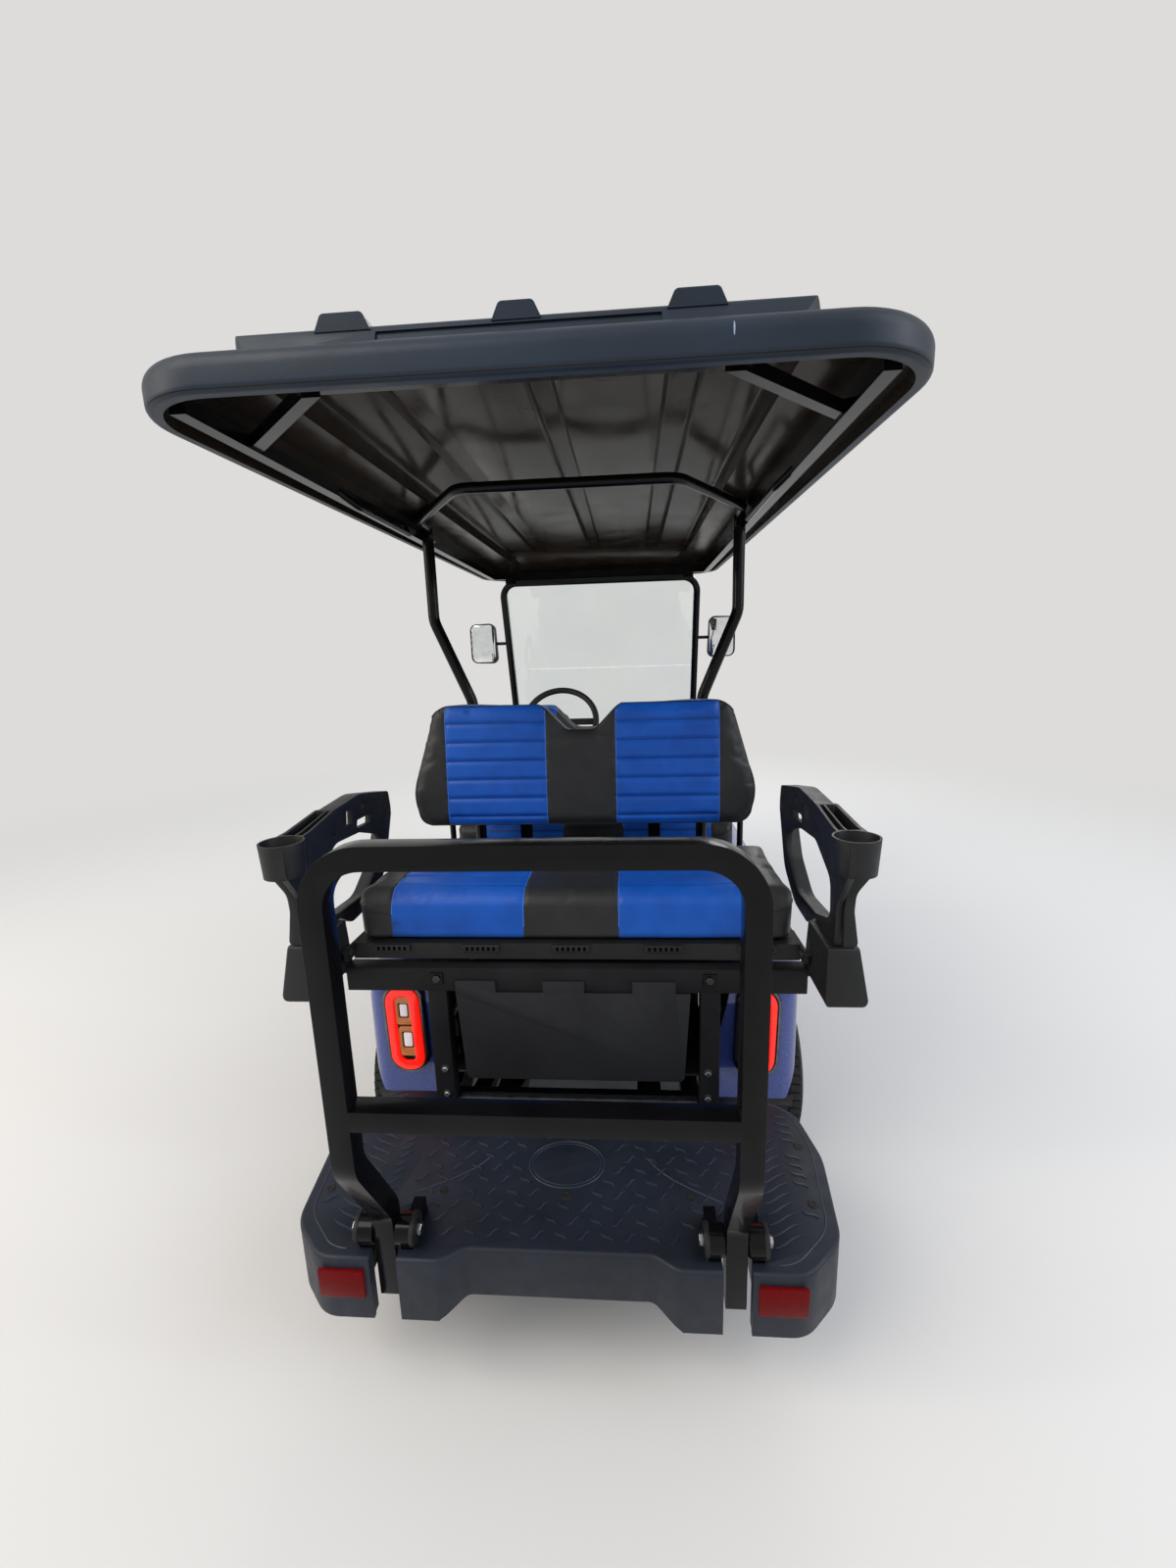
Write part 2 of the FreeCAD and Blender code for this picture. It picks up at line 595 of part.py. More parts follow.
def backrest(half_width, bottom, top, valley, thickness):
    """A two-lobed backrest pad, its face towards -Y at Y 0, its base edge at Z 0."""
    height = top - bottom
    points = symmetric([(half_width - 24, 0, 55), (half_width, 105, 160), (half_width - 76, height, 62),
                        (118, height, 30), (42, valley - bottom, 24)])
    return prism(points, "xz", 0, thickness)


def placed_back(pad, y, z, lean, facing):
    """A backrest pad leant about its base edge and set in place; facing 1 turns it to the front."""
    shape = pad.copy()
    shape.rotate(V(0, 0, 0), V(1, 0, 0), -lean)
    if facing > 0:
        shape.rotate(V(0, 0, 0), V(0, 0, 1), 180)
    shape.translate(V(0, y, z))
    return shape


def rear_backrest():
    """Backrest of the rear-facing seat."""
    pad = backrest(BACK_HALF_WIDTH, BACK_BOTTOM, BACK_TOP, BACK_VALLEY, BACK_THICKNESS)
    return placed_back(pad, BACK_FACE_Y, BACK_BOTTOM, BACK_LEAN, -1)


def front_backrest():
    """Backrest of the front seat."""
    pad = backrest(BACK_HALF_WIDTH - 8, FRONT_BACK_BOTTOM, FRONT_BACK_TOP, FRONT_BACK_TOP - 78, BACK_THICKNESS)
    return placed_back(pad, FRONT_BACK_FACE_Y, FRONT_BACK_BOTTOM, BACK_LEAN, 1)


def front_seat_cushion():
    """Front bench cushion, hinged at its front edge over the battery bay."""
    side = prism([(FRONT_SEAT_REAR_Y, POD_TOP + SEAT_GAP, 8), (FRONT_SEAT_FRONT_Y, POD_TOP + SEAT_GAP, 20),
                  (FRONT_SEAT_FRONT_Y, FRONT_CUSHION_TOP, 52), (FRONT_SEAT_REAR_Y, FRONT_CUSHION_TOP - 18, 40)],
                 "yz", -SEAT_HALF_WIDTH - 6, SEAT_HALF_WIDTH + 6)
    plan = prism(symmetric([(SEAT_HALF_WIDTH + 6, FRONT_SEAT_REAR_Y - 1, 40),
                            (SEAT_HALF_WIDTH + 6, FRONT_SEAT_FRONT_Y + 1, 70)]),
                 "xy", POD_TOP - 1, FRONT_CUSHION_TOP + 1)
    return side.common(plan)


def seat_back_frame():
    """Tubes behind the two backrests, with the hip rails beside the front seat."""
    y = STRUT_Y
    pieces = []
    for z in (BACK_BOTTOM + 40, BACK_BOTTOM + 210):
        half = BACK_POST_X - STRUT_RADIUS
        pieces.append(box((-half, half), (y - 12, y + 12), (z - 12, z + 12)))
    for x in (-220, 220):
        pieces.append(box((x - 20, x + 20), (y - 8, y + 8), (POD_TOP, BACK_BOTTOM + 222)))
        for z in (BACK_BOTTOM + 40, BACK_BOTTOM + 210):
            rise = (z - BACK_BOTTOM) * math.tan(math.radians(BACK_LEAN))
            rear_y = BACK_FACE_Y + rise + BACK_THICKNESS / math.cos(math.radians(BACK_LEAN)) + SEAT_GAP + 1
            pieces.append(box((x - 15, x + 15), (rear_y, y), (z - 10, z + 10)))
            rise = (z - FRONT_BACK_BOTTOM) * math.tan(math.radians(BACK_LEAN))
            front_y = FRONT_BACK_FACE_Y - rise - BACK_THICKNESS / math.cos(math.radians(BACK_LEAN)) - SEAT_GAP - 1
            pieces.append(box((x - 15, x + 15), (y, front_y), (z - 10, z + 10)))
    return fused(pieces)


def hip_rails():
    """Bent side rails beside the front seat."""
    x = SEAT_HALF_WIDTH + 26
    z = FRONT_CUSHION_TOP + 110
    rear = FRONT_SEAT_REAR_Y + 70
    front = FRONT_SEAT_FRONT_Y - 150
    rail = round_bar([(x, rear, POD_TOP), (x, rear, z), (x, front, z), (x, front, POD_TOP)], 60, 11)
    return pair(rail)


def storage_bin():
    """Open-topped bag well under the rear seat, tapered downwards."""
    rear = BIN_REAR_Y
    front = rear + BIN_DEPTH
    rim = BEAM_BOTTOM - SEAT_GAP
    outer = prism([(-262, BIN_BOTTOM, 14), (262, BIN_BOTTOM, 14), (276, rim, 0), (-276, rim, 0)],
                  "xz", rear, front)
    inner = prism([(-257, BIN_BOTTOM + WALL, 10), (257, BIN_BOTTOM + WALL, 10), (271, rim + 1, 0),
                   (-271, rim + 1, 0)], "xz", rear + WALL, front - WALL)
    hooks = []
    for low, high in BIN_HOOKS:
        hooks.append(box((low, high), (rear, rear + WALL), (rim - 5, BIN_TOP)))
    return fused([outer.cut(inner)] + hooks)


def arm_side(points, low, high):
    """A side view of the arm, drawn from its foot, extruded between two X stations."""
    return prism(moved(points, BASE_FRONT_Y, ARM_FOOT_Z), "yz", low, high)


def cup_and_pocket(side):
    """The tapered cup and the two-part tray in front of it, under the arm's top line."""
    cup_floor = CUP_RIM_Z - CUP_DEPTH
    outer = CUP_RADIUS + CUP_WALL
    cup = Part.makeCone(outer - 4, outer, CUP_DEPTH + 6, V(ARM_CUP_X, CUP_Y, cup_floor - 6))
    tray_front = CUP_Y + POCKET_LENGTH + outer
    tray_floor = CUP_RIM_Z - POCKET_DEPTH
    wide = ARM_CUP_X + outer - 8
    narrow = ARM_INNER_X + ARM_THICKNESS + 8
    plan = [(ARM_INNER_X, CUP_Y, 0), (wide, CUP_Y, 0), (narrow, tray_front, 8), (ARM_INNER_X, tray_front, 0)]
    tray = prism(plan, "xy", tray_floor, CUP_RIM_Z + 40).common(side)
    divider = (ARM_INNER_X + wide) / 2 - 10
    rear = CUP_Y + outer + 4
    hollows = [
        prism([(ARM_INNER_X + 6, rear, 0), (divider - 2, rear, 0), (divider - 6, tray_front - 8, 0),
               (ARM_INNER_X + 6, tray_front - 8, 6)], "xy", tray_floor + POCKET_FLOOR, CUP_RIM_Z + 60),
        prism([(divider + 2, rear, 0), (wide - 12, rear, 0), (narrow - 7, tray_front - 8, 6),
               (divider - 2, tray_front - 8, 0)], "xy", tray_floor + POCKET_FLOOR, CUP_RIM_Z + 60),
    ]
    return cup, tray, hollows


def armrest():
    """Right-hand arm: cup, tray, top band, pierced web, forked leg and curved lower rail."""
    low, high = ARM_INNER_X, ARM_INNER_X + ARM_THICKNESS
    outline = [(-137, 0, 6), (-137, 93, 50), (-198, 177, 14), (-198, 237, 6), (-85, 243, 60),
               (35, 262, 160), (175, 270, 200), (363, 236, 14), (373, 176, 60), (295, 23, 90),
               (175, -35, 90), (60, -37, 50), (2, 0, 0)]
    web = arm_side(outline, low, low + ARM_WEB)
    oval = [(-102, 45, 30), (-5, 15, 60), (155, 5, 90), (265, 68, 70), (295, 125, 34),
            (155, 172, 60), (25, 182, 60), (-92, 130, 40)]
    windows = [
        # rear, front, bottom, top of each tapered window in the web
        (4, 34, 202, 240),
        (88, 126, 202, 243),
        (142, 228, 180, 206),
        (176, 206, 220, 242),
    ]
    web = web.cut(arm_side(oval, low - 10, high))
    for rear, front, bottom, top in windows:
        web = web.cut(arm_side([(rear, bottom + 6, 4), (front - 6, bottom, 5), (front, top - 3, 5),
                                (rear + 6, top, 4)], low - 10, high))
    whole = arm_side(outline, low, high)
    band = whole.cut(arm_side(moved(outline, -ARM_BAND, -ARM_BAND), low - 10, high + 10))
    lower_rail = arm_side([(-137, 0, 0), (2, 0, 0), (60, -37, 50), (175, -35, 90), (295, 23, 90), (371, 170, 0),
                           (345, 170, 0), (265, 58, 70), (155, -5, 90), (-5, 5, 60), (-110, 36, 20),
                           (-137, 36, 0)], low, high)
    outer_leg = prism([(high - 24, ARM_FOOT_Z + 1, 0), (high + 6, ARM_FOOT_Z + 1, 10), (high - 6, ARM_FOOT_Z + 80, 60),
                       (high - 4, ARM_FOOT_Z + 118, 40), (high + 24, ARM_FOOT_Z + 156, 20),
                       (high + 24, ARM_FOOT_Z + 176, 0), (high, ARM_FOOT_Z + 176, 0),
                       (high - 22, ARM_FOOT_Z + 122, 40), (high - 26, ARM_FOOT_Z + 80, 60)], "xz",
                      BASE_FRONT_Y - 146, BASE_FRONT_Y - 110)
    rib = box((low + ARM_WEB - 1, high - 18), (BASE_FRONT_Y - 128, BASE_FRONT_Y - 122), (ARM_FOOT_Z, ARM_FOOT_Z + 112))
    cup, tray, hollows = cup_and_pocket(arm_side(outline, low, high + 60))
    shape = fused([web, band, lower_rail, outer_leg, rib, cup, tray])
    bore = Part.makeCylinder(CUP_RADIUS, CUP_DEPTH + 20, V(ARM_CUP_X, CUP_Y, CUP_RIM_Z - CUP_DEPTH))
    for hollow in hollows + [bore]:
        shape = shape.cut(hollow)
    return shape


def armrest_base():
    """Right-hand base block that carries the arm and the flip seat's hinge pin."""
    rear = BASE_FRONT_Y - BASE_LENGTH
    outer = BASE_INNER_X + BASE_WIDTH
    block = prism([(rear, BASE_BOTTOM, 8), (BASE_FRONT_Y, BASE_BOTTOM, 8), (BASE_FRONT_Y - 6, BASE_TOP, 6),
                   (rear + 16, BASE_TOP, 6)], "yz", BASE_INNER_X, outer)
    block = block.common(prism([(BASE_INNER_X, BASE_BOTTOM, 14), (outer, BASE_BOTTOM, 18), (outer - 21, BASE_TOP, 0),
                                (BASE_INNER_X + 5, BASE_TOP, 0)], "xz", rear - 5, BASE_FRONT_Y + 5))
    foot = box((BEAM_HALF_LENGTH, BASE_INNER_X + 30), (POST_Y - 20, POST_Y + 20), (BASE_BOTTOM + 4, BEAM_TOP - 4))
    pin = rod((DECK_HALF_WIDTH - 8, FLIP_AXIS_Y, FLIP_AXIS_Z), (BASE_INNER_X + 20, FLIP_AXIS_Y, FLIP_AXIS_Z),
              FLIP_PIN_RADIUS)
    return fused([block, foot, pin])


def body_form(inset):
    """Outer form of the rear body: fenders at the back and the seat pod in front of them."""
    fender_half = BODY_HALF_WIDTH - inset
    rear = BODY_REAR_Y + inset
    plan = symmetric([(552 - inset, rear, 50), (fender_half, BODY_REAR_Y + 185, 160),
                      (fender_half, REAR_AXLE_Y + 150, 160), (POD_HALF_WIDTH - inset, POD_REAR_Y + FENDER_ROUND, 40)])
    fender = prism(plan, "xy", BODY_BOTTOM - inset, FENDER_TOP - inset)
    fender = fender.makeFillet(FENDER_ROUND - inset, [e for e in fender.Edges if level_edge(FENDER_TOP - inset)(e)
                                                      and e.CenterOfMass.y < POD_REAR_Y - 10])
    tail = prism(plan, "xy", TAIL_BOTTOM - inset, BODY_BOTTOM + 10)
    tail = tail.common(box((-BODY_OUTSIDE_X, BODY_OUTSIDE_X), (BODY_REAR_Y, REAR_AXLE_Y), (0, BODY_BOTTOM + 10)))
    pod = prism(symmetric([(POD_HALF_WIDTH - inset, POD_REAR_Y + inset, 40),
                           (POD_HALF_WIDTH - inset, POD_FRONT_Y - inset, 60)]),
                "xy", BODY_BOTTOM - inset, POD_TOP - inset)
    return fused([fender, tail, pod])


def rear_body():
    """Painted rear body shell, open at the bottom, with its wheel arches, bin bay and battery bay."""
    shell = body_form(0).cut(body_form(WALL))
    arch = rod((REAR_ARCH_INNER_X, REAR_AXLE_Y, TYRE_RADIUS), (BODY_OUTSIDE_X, REAR_AXLE_Y, TYRE_RADIUS), ARCH_RADIUS)
    bay = box((-BAY_HALF_WIDTH, BAY_HALF_WIDTH), (BODY_REAR_Y - 10, POD_REAR_Y + 80),
              (TAIL_BOTTOM - 20, FENDER_TOP + 100))
    battery_bay = prism(symmetric([(440, POD_REAR_Y + 120, 30), (440, POD_FRONT_Y - 70, 30)]),
                        "xy", POD_TOP - 30, POD_TOP + 10)
    tail_way = prism(symmetric([(BAY_HALF_WIDTH + 58, TAIL_BOTTOM - 20, 0), (BAY_HALF_WIDTH + 58, 430, 40),
                                (BAY_HALF_WIDTH + 96, 600, 40), (BAY_HALF_WIDTH + 96, FENDER_TOP + 20, 0)]), "xz",
                     BODY_REAR_Y - 10, BODY_REAR_Y + 60)
    strut = rod((BACK_POST_X, STRUT_Y, POD_TOP - 80), (BACK_POST_X, STRUT_Y, POD_TOP + 40), STRUT_RADIUS + 2)
    rail_way = box((-560, 560), (POD_FRONT_Y - 20, POD_FRONT_Y + 10), (BODY_BOTTOM - 20, RAIL_TOP + SEAT_GAP))
    cuts = [arch, mirrored(arch), bay, battery_bay, tail_way, rail_way, strut, mirrored(strut)]
    for cut in cuts:
        shell = shell.cut(cut)
    lamp_hole = lamp_outline(LAMP_RECESS_INSET, BODY_REAR_Y - 20, BODY_REAR_Y + 40)
    return shell.cut(lamp_hole).cut(mirrored(lamp_hole))


def bay_liner():
    """Black liner under and in front of the bag well, on the chassis rails."""
    floor = box((-LINER_HALF_WIDTH, LINER_HALF_WIDTH), (BODY_REAR_Y + 8, LINER_FRONT_Y), (RAIL_TOP, RAIL_TOP + WALL))
    wall = box((-LINER_HALF_WIDTH, LINER_HALF_WIDTH), (LINER_FRONT_Y - WALL, LINER_FRONT_Y),
               (RAIL_TOP, FENDER_TOP - WALL - 1))
    well = box((4 - BAY_HALF_WIDTH, BAY_HALF_WIDTH - 4), (LINER_FRONT_Y - WALL, LINER_FRONT_Y), (RAIL_TOP, LINER_TOP))
    ribs = [box((x - 4, x + 4), (LINER_FRONT_Y - WALL - 8, LINER_FRONT_Y), (RAIL_TOP, LINER_TOP - 20))
            for x in (-240, -80, 80, 240)]
    return fused([floor, wall, well] + ribs)


def lamp_outline(inset, rear, front):
    """The right-hand tail lamp's rounded outline between two Y stations."""
    return prism([(396 + inset, 358 + inset, 50 - inset), (508 - inset, 358 + inset, 56 - inset),
                  (514 - inset, 618 - inset, 56 - inset), (402 + inset, 618 - inset, 50 - inset)], "xz", rear, front)


def taillights():
    """Tail lamps: a rounded body let into the fender, with a proud red ring around two recessed cells."""
    face = BODY_REAR_Y - LAMP_FLANGE
    flange = lamp_outline(0, face, BODY_REAR_Y)
    ring = lamp_outline(LAMP_RING_INSET, face - LAMP_RING_PROUD, face)
    ring = ring.cut(lamp_outline(LAMP_RING_INSET + LAMP_RING_WIDTH, face - LAMP_RING_PROUD - 5, face))
    bucket = lamp_outline(LAMP_RECESS_INSET + SEAT_GAP, BODY_REAR_Y, BODY_REAR_Y + 45)
    cells = [
        # inner X, outer X, bottom and top of each lens cell inside the ring
        (432, 480, 426, 490),
        (430, 462, 500, 572),
    ]
    pieces = [flange, ring, bucket]
    for inner, outer, bottom, top in cells:
        pieces.append(prism([(inner, bottom, 9), (outer, bottom, 9), (outer, top, 9), (inner, top, 9)], "xz",
                            face - LAMP_CELL_PROUD, face + 1))
    return pair(fused(pieces))


def side_sills():
    """Black rocker mouldings along the floor, and the aprons under the fenders' rear edges."""
    sill = prism([(POD_HALF_WIDTH - 30, RAIL_BOTTOM - 5, 8), (POD_HALF_WIDTH + 6, RAIL_BOTTOM + 10, 16),
                  (POD_HALF_WIDTH + 6, BODY_BOTTOM - SEAT_GAP, 4), (POD_HALF_WIDTH - 30, BODY_BOTTOM - SEAT_GAP, 4)],
                 "xz", REAR_AXLE_Y + ARCH_RADIUS - 5, COWL_REAR_Y - 10)
    apron_rear = BODY_REAR_Y + WALL
    apron = prism([(apron_rear, FENDER_EDGE + 45, 0), (apron_rear, FENDER_EDGE, 6), (apron_rear + 18, APRON_BOTTOM, 0),
                   (apron_rear + 22, APRON_BOTTOM, 0), (apron_rear + 5, FENDER_EDGE, 6),
                   (apron_rear + 5, FENDER_EDGE + 45, 0)], "yz", APRON_INNER_X, APRON_OUTER_X)
    shoulder = box((APRON_OUTER_X - 60, APRON_OUTER_X + 5), (apron_rear - 1, apron_rear + 30),
                   (FENDER_EDGE - 10, FENDER_EDGE + 50))
    return Part.makeCompound([pair(sill), pair(apron.cut(shoulder))])


def floor_pan():
    """Floor tray with the toe board that rises between the front wheels' arches."""
    t = FLOOR_THICKNESS
    foot = COWL_REAR_Y - 15
    flat = prism([(POD_FRONT_Y + SEAT_GAP, FLOOR_TOP - t, 0), (foot + 5, FLOOR_TOP - t, 20),
                  (foot + 175, 632, 30), (foot + 190, FLOOR_TOE_TOP - t, 0), (foot + 250, FLOOR_TOE_TOP - t, 0),
                  (foot + 250, FLOOR_TOE_TOP, 0), (foot + 178, FLOOR_TOE_TOP, 0), (foot + 163, 636, 30),
                  (foot, FLOOR_TOP, 20), (POD_FRONT_Y + SEAT_GAP, FLOOR_TOP, 0)],
                 "yz", -FLOOR_HALF_WIDTH, FLOOR_HALF_WIDTH)
    ribs = []
    for x in range(-5, 6):
        ribs.append(box((x * 90 - 10, x * 90 + 10), (POD_FRONT_Y + 40, foot - 40), (FLOOR_TOP - 1, FLOOR_TOP + 4)))
    return fused([flat] + ribs).cut(shaft_way())


def cowl_form(inset):
    """Outer form of the front cowl: its side view crossed with its plan view."""
    side = prism([(COWL_REAR_Y, COWL_BOTTOM - inset, 0), (COWL_REAR_Y, 520, 60), (COWL_REAR_Y + 105, 755, 90),
                  (COWL_REAR_Y + 215, COWL_TOP - inset, 0), (COWL_REAR_Y + 330, COWL_TOP - 4 - inset, 60),
                  (COWL_FRONT_Y - 75 - inset, 712 - inset, 110), (COWL_FRONT_Y - inset, 600 - inset, 60),
                  (COWL_FRONT_Y - 12 - inset, COWL_BOTTOM - inset, 0)], "yz", -BODY_OUTSIDE_X, BODY_OUTSIDE_X)
    plan = prism(symmetric([(COWL_HALF_WIDTH - inset, COWL_REAR_Y - 1, 0),
                            (COWL_HALF_WIDTH - inset, FRONT_AXLE_Y + 170, 200),
                            (440 - inset, COWL_FRONT_Y - inset, 90)]), "xy", COWL_BOTTOM - 20, COWL_TOP + 20)
    form = side.common(plan)
    return form.makeFillet(COWL_ROUND - inset, [e for e in form.Edges if shoulder_edge(e)])


def shoulder_edge(edge):
    """True for the cowl's edges between its top and its sides, ahead of the windshield."""
    centre = edge.CenterOfMass
    return (abs(centre.x) > COWL_HALF_WIDTH - 160 and centre.z > 560 and centre.y > COWL_REAR_Y + 230
            and edge.BoundBox.YLength > 4)


def front_cowl():
    """Painted front cowl shell with its wheel arches and lamp openings, open below and behind."""
    shell = cowl_form(0).cut(cowl_form(WALL))
    arch = rod((FRONT_ARCH_INNER_X, FRONT_AXLE_Y, TYRE_RADIUS), (BODY_OUTSIDE_X, FRONT_AXLE_Y, TYRE_RADIUS),
               FRONT_ARCH_RADIUS)
    back = prism([(COWL_REAR_Y - 20, COWL_BOTTOM - 20, 0), (COWL_REAR_Y - 20, COWL_TOP + 20, 0),
                  (COWL_REAR_Y + 205, COWL_TOP + 20, 0), (COWL_REAR_Y + 205, COWL_BOTTOM - 20, 0)], "yz",
                 -COWL_HALF_WIDTH + 60, COWL_HALF_WIDTH - 60)
    shell = shell.cut(arch).cut(mirrored(arch)).cut(back)
    lamp = headlamp_outline(0, COWL_FRONT_Y - 140, COWL_FRONT_Y + 10)
    hoop_way = hoop_side(WS_SIZE + 2 * SEAT_GAP)
    for cut in (lamp, hoop_way):
        shell = shell.cut(cut).cut(mirrored(cut))
    return shell


def headlamp_outline(inset, rear, front):
    """The right-hand head lamp's outline between two Y stations."""
    return prism([(238 + inset, 500 + inset, 24), (392 - inset, 512 + inset, 30), (398 - inset, 586 - inset, 30),
                  (238 + inset, 572 - inset, 24)], "xz", rear, front)


def headlamps():
    """Head lamps let into the nose of the cowl."""
    return pair(headlamp_outline(SEAT_GAP, COWL_FRONT_Y - 90, COWL_FRONT_Y - 8))


def front_bumper():
    """Moulded bumper wrapped round the nose."""
    front = BUMPER_FRONT_Y
    top = COWL_BOTTOM - SEAT_GAP
    outer = prism(symmetric([(505, front - 170, 20), (450, front, 110)]), "xy", BUMPER_BOTTOM, top)
    inner = prism(symmetric([(465, front - 190, 0), (420, front - 36, 90)]), "xy", BUMPER_BOTTOM - 1, top + 1)
    shell = outer.cut(inner)
    stay = box((RAIL_INNER_X, RAIL_INNER_X + RAIL_WIDTH), (RAIL_FRONT_Y + 45, front - 20), (RAIL_BOTTOM, top))
    return fused([shell, stay, mirrored(stay)])


def dashboard():
    """Dash moulding between the cowl sides: two cubbies, cup wells and a centre recess."""
    rear = DASH_REAR_Y
    side = [(rear + 40, FLOOR_TOE_TOP, 30), (rear, 800, 30), (rear + 8, 885, 36), (rear + 62, 925, 20),
            (rear + 150, 925, 10), (rear + 150, FLOOR_TOE_TOP, 10)]
    body = prism(side, "yz", -DASH_HALF_WIDTH, DASH_HALF_WIDTH)
    cuts = []
    for low, high in ((130, 440), (-60, 60)):
        cuts.append(prism([(low, 790, 24), (high, 790, 24), (high, 868, 24), (low, 868, 24)], "xz",
                          rear - 10, rear + 110))
    cuts.append(prism([(-440, 790, 24), (-330, 790, 24), (-330, 868, 24), (-440, 868, 24)], "xz",
                      rear - 10, rear + 110))
    cuts.append(rod(column_point(0), column_point(COLUMN_LENGTH + 20), COLUMN_RADIUS + 5))
    cuts.append(shaft_way())
    for cut in cuts:
        body = body.cut(cut)
    return body


def column_point(distance):
    """A point on the steering column, this far below the middle of the wheel."""
    tilt = math.radians(COLUMN_TILT)
    return (STEERING_WHEEL_X, STEERING_WHEEL_Y + distance * math.cos(tilt),
            STEERING_WHEEL_Z - distance * math.sin(tilt))


def shaft_foot():
    """Where the lower steering shaft enters the rack housing."""
    return (STEERING_WHEEL_X + 62, RACK_Y, RACK_Z + 20)


def shaft_way():
    """The clear way round the lower steering shaft."""
    return rod(column_point(COLUMN_LENGTH - 30), shaft_foot(), 30)


def steering_column():
    """Fixed column tube from the dash, with the lower shaft and the rack housing on the rails."""
    tube = rod(column_point(60), column_point(COLUMN_LENGTH), COLUMN_RADIUS)
    shaft = rod(column_point(COLUMN_LENGTH - 8), shaft_foot(), 10)
    joint = rod(column_point(COLUMN_LENGTH - 24), column_point(COLUMN_LENGTH + 14), COLUMN_RADIUS + 3)
    housing = rod((-RACK_HOUSING_HALF, RACK_Y, RACK_Z), (RACK_HOUSING_HALF, RACK_Y, RACK_Z), 23)
    foot = box((RAIL_INNER_X - 20, RAIL_INNER_X + RAIL_WIDTH), (RACK_Y - 26, RACK_Y + 26), (RAIL_TOP, RACK_Z))
    shape = fused([tube, joint, shaft, housing, foot, mirrored(foot)])
    bore_half = RAIL_INNER_X + RAIL_WIDTH + 10
    bore = rod((-bore_half, RACK_Y, RACK_Z), (bore_half, RACK_Y, RACK_Z), RACK_RADIUS + RUNNING_FIT)
    spindle = rod(column_point(0), column_point(110), COLUMN_SPINDLE_RADIUS + RUNNING_FIT)
    return shape.cut(bore).cut(spindle)


def steering_rack():
    """Rack bar with its two tie rods and their end sockets."""
    bar = rod((-ROD_END_X, RACK_Y, RACK_Z), (ROD_END_X, RACK_Y, RACK_Z), RACK_RADIUS)
    end = Part.makeCylinder(ROD_END_RADIUS, ROD_END_HEIGHT, V(ROD_END_X, RACK_Y, RACK_Z - ROD_END_HEIGHT / 2))
    return fused([bar, end, mirrored(end)])


def steering_wheel():
    """Padded rim, three spokes, hub and spindle."""
    tilt = math.radians(COLUMN_TILT)
    axis = V(0, math.cos(tilt), -math.sin(tilt))
    centre = V(*column_point(0))
    ring = Part.makeTorus(STEERING_WHEEL_RADIUS, GRIP_RADIUS, centre, axis)
    hub = Part.makeCylinder(42, 40, centre, axis)
    spindle = Part.makeCylinder(COLUMN_SPINDLE_RADIUS, 108, centre, axis)
    up = V(0, math.sin(tilt), math.cos(tilt))
    spokes = []
    for angle in (90, -90, 180):
        turn = math.radians(angle)
        heading = up * math.cos(turn) + V(1, 0, 0) * math.sin(turn)
        side = heading.cross(axis)
        start = centre + heading * 20 + axis * 10
        corner = start - side * 15 - axis * 4
        loop = [corner, corner + side * 30, corner + side * 30 + axis * 8, corner + axis * 8, corner]
        face = Part.Face(Part.Wire([Part.makeLine(a, b) for a, b in zip(loop, loop[1:])]))
        spokes.append(face.extrude(heading * (STEERING_WHEEL_RADIUS - 22)))
    return fused([ring, hub, spindle] + spokes)


def front_suspension():
    """Front cross-member, upper and lower arms with kingpin eyes, towers and dampers."""
    y = FRONT_AXLE_Y
    member = box((-RAIL_INNER_X - 85, RAIL_INNER_X + 85), (y - 60, y + 60), (LOWER_ARM_Z - 10, RAIL_BOTTOM))
    tower = box((RAIL_INNER_X + RAIL_WIDTH, RAIL_INNER_X + RAIL_WIDTH + 30), (y - 30, y + 30),
                (RAIL_BOTTOM - 10, TOWER_TOP))
    pieces = [member, tower, mirrored(tower)]
    inner_x = RAIL_INNER_X + RAIL_WIDTH
    for z, spread in ((LOWER_ARM_Z, 58), (UPPER_ARM_Z, 40)):
        arm = prism([(inner_x, y - spread, 0), (KINGPIN_X - 14, y - 19, 0), (KINGPIN_X - 14, y + 19, 0),
                     (inner_x, y + spread, 0)], "xy", z + 4, z + EYE_HEIGHT - 4)
        eye = Part.makeCylinder(EYE_RADIUS, EYE_HEIGHT, V(KINGPIN_X, y, z))
        for piece in (arm, eye):
            pieces += [piece, mirrored(piece)]
    damper = rod((KINGPIN_X - 62, y, LOWER_ARM_Z + 10), (RAIL_INNER_X + RAIL_WIDTH + 22, y, TOWER_TOP - 30), 21)
    pieces += [damper, mirrored(damper)]
    shape = fused(pieces)
    for z in (LOWER_ARM_Z, UPPER_ARM_Z):
        bore = Part.makeCylinder(KINGPIN_RADIUS + RUNNING_FIT, EYE_HEIGHT + 2, V(KINGPIN_X, y, z - 1))
        shape = shape.cut(bore).cut(mirrored(bore))
    return shape


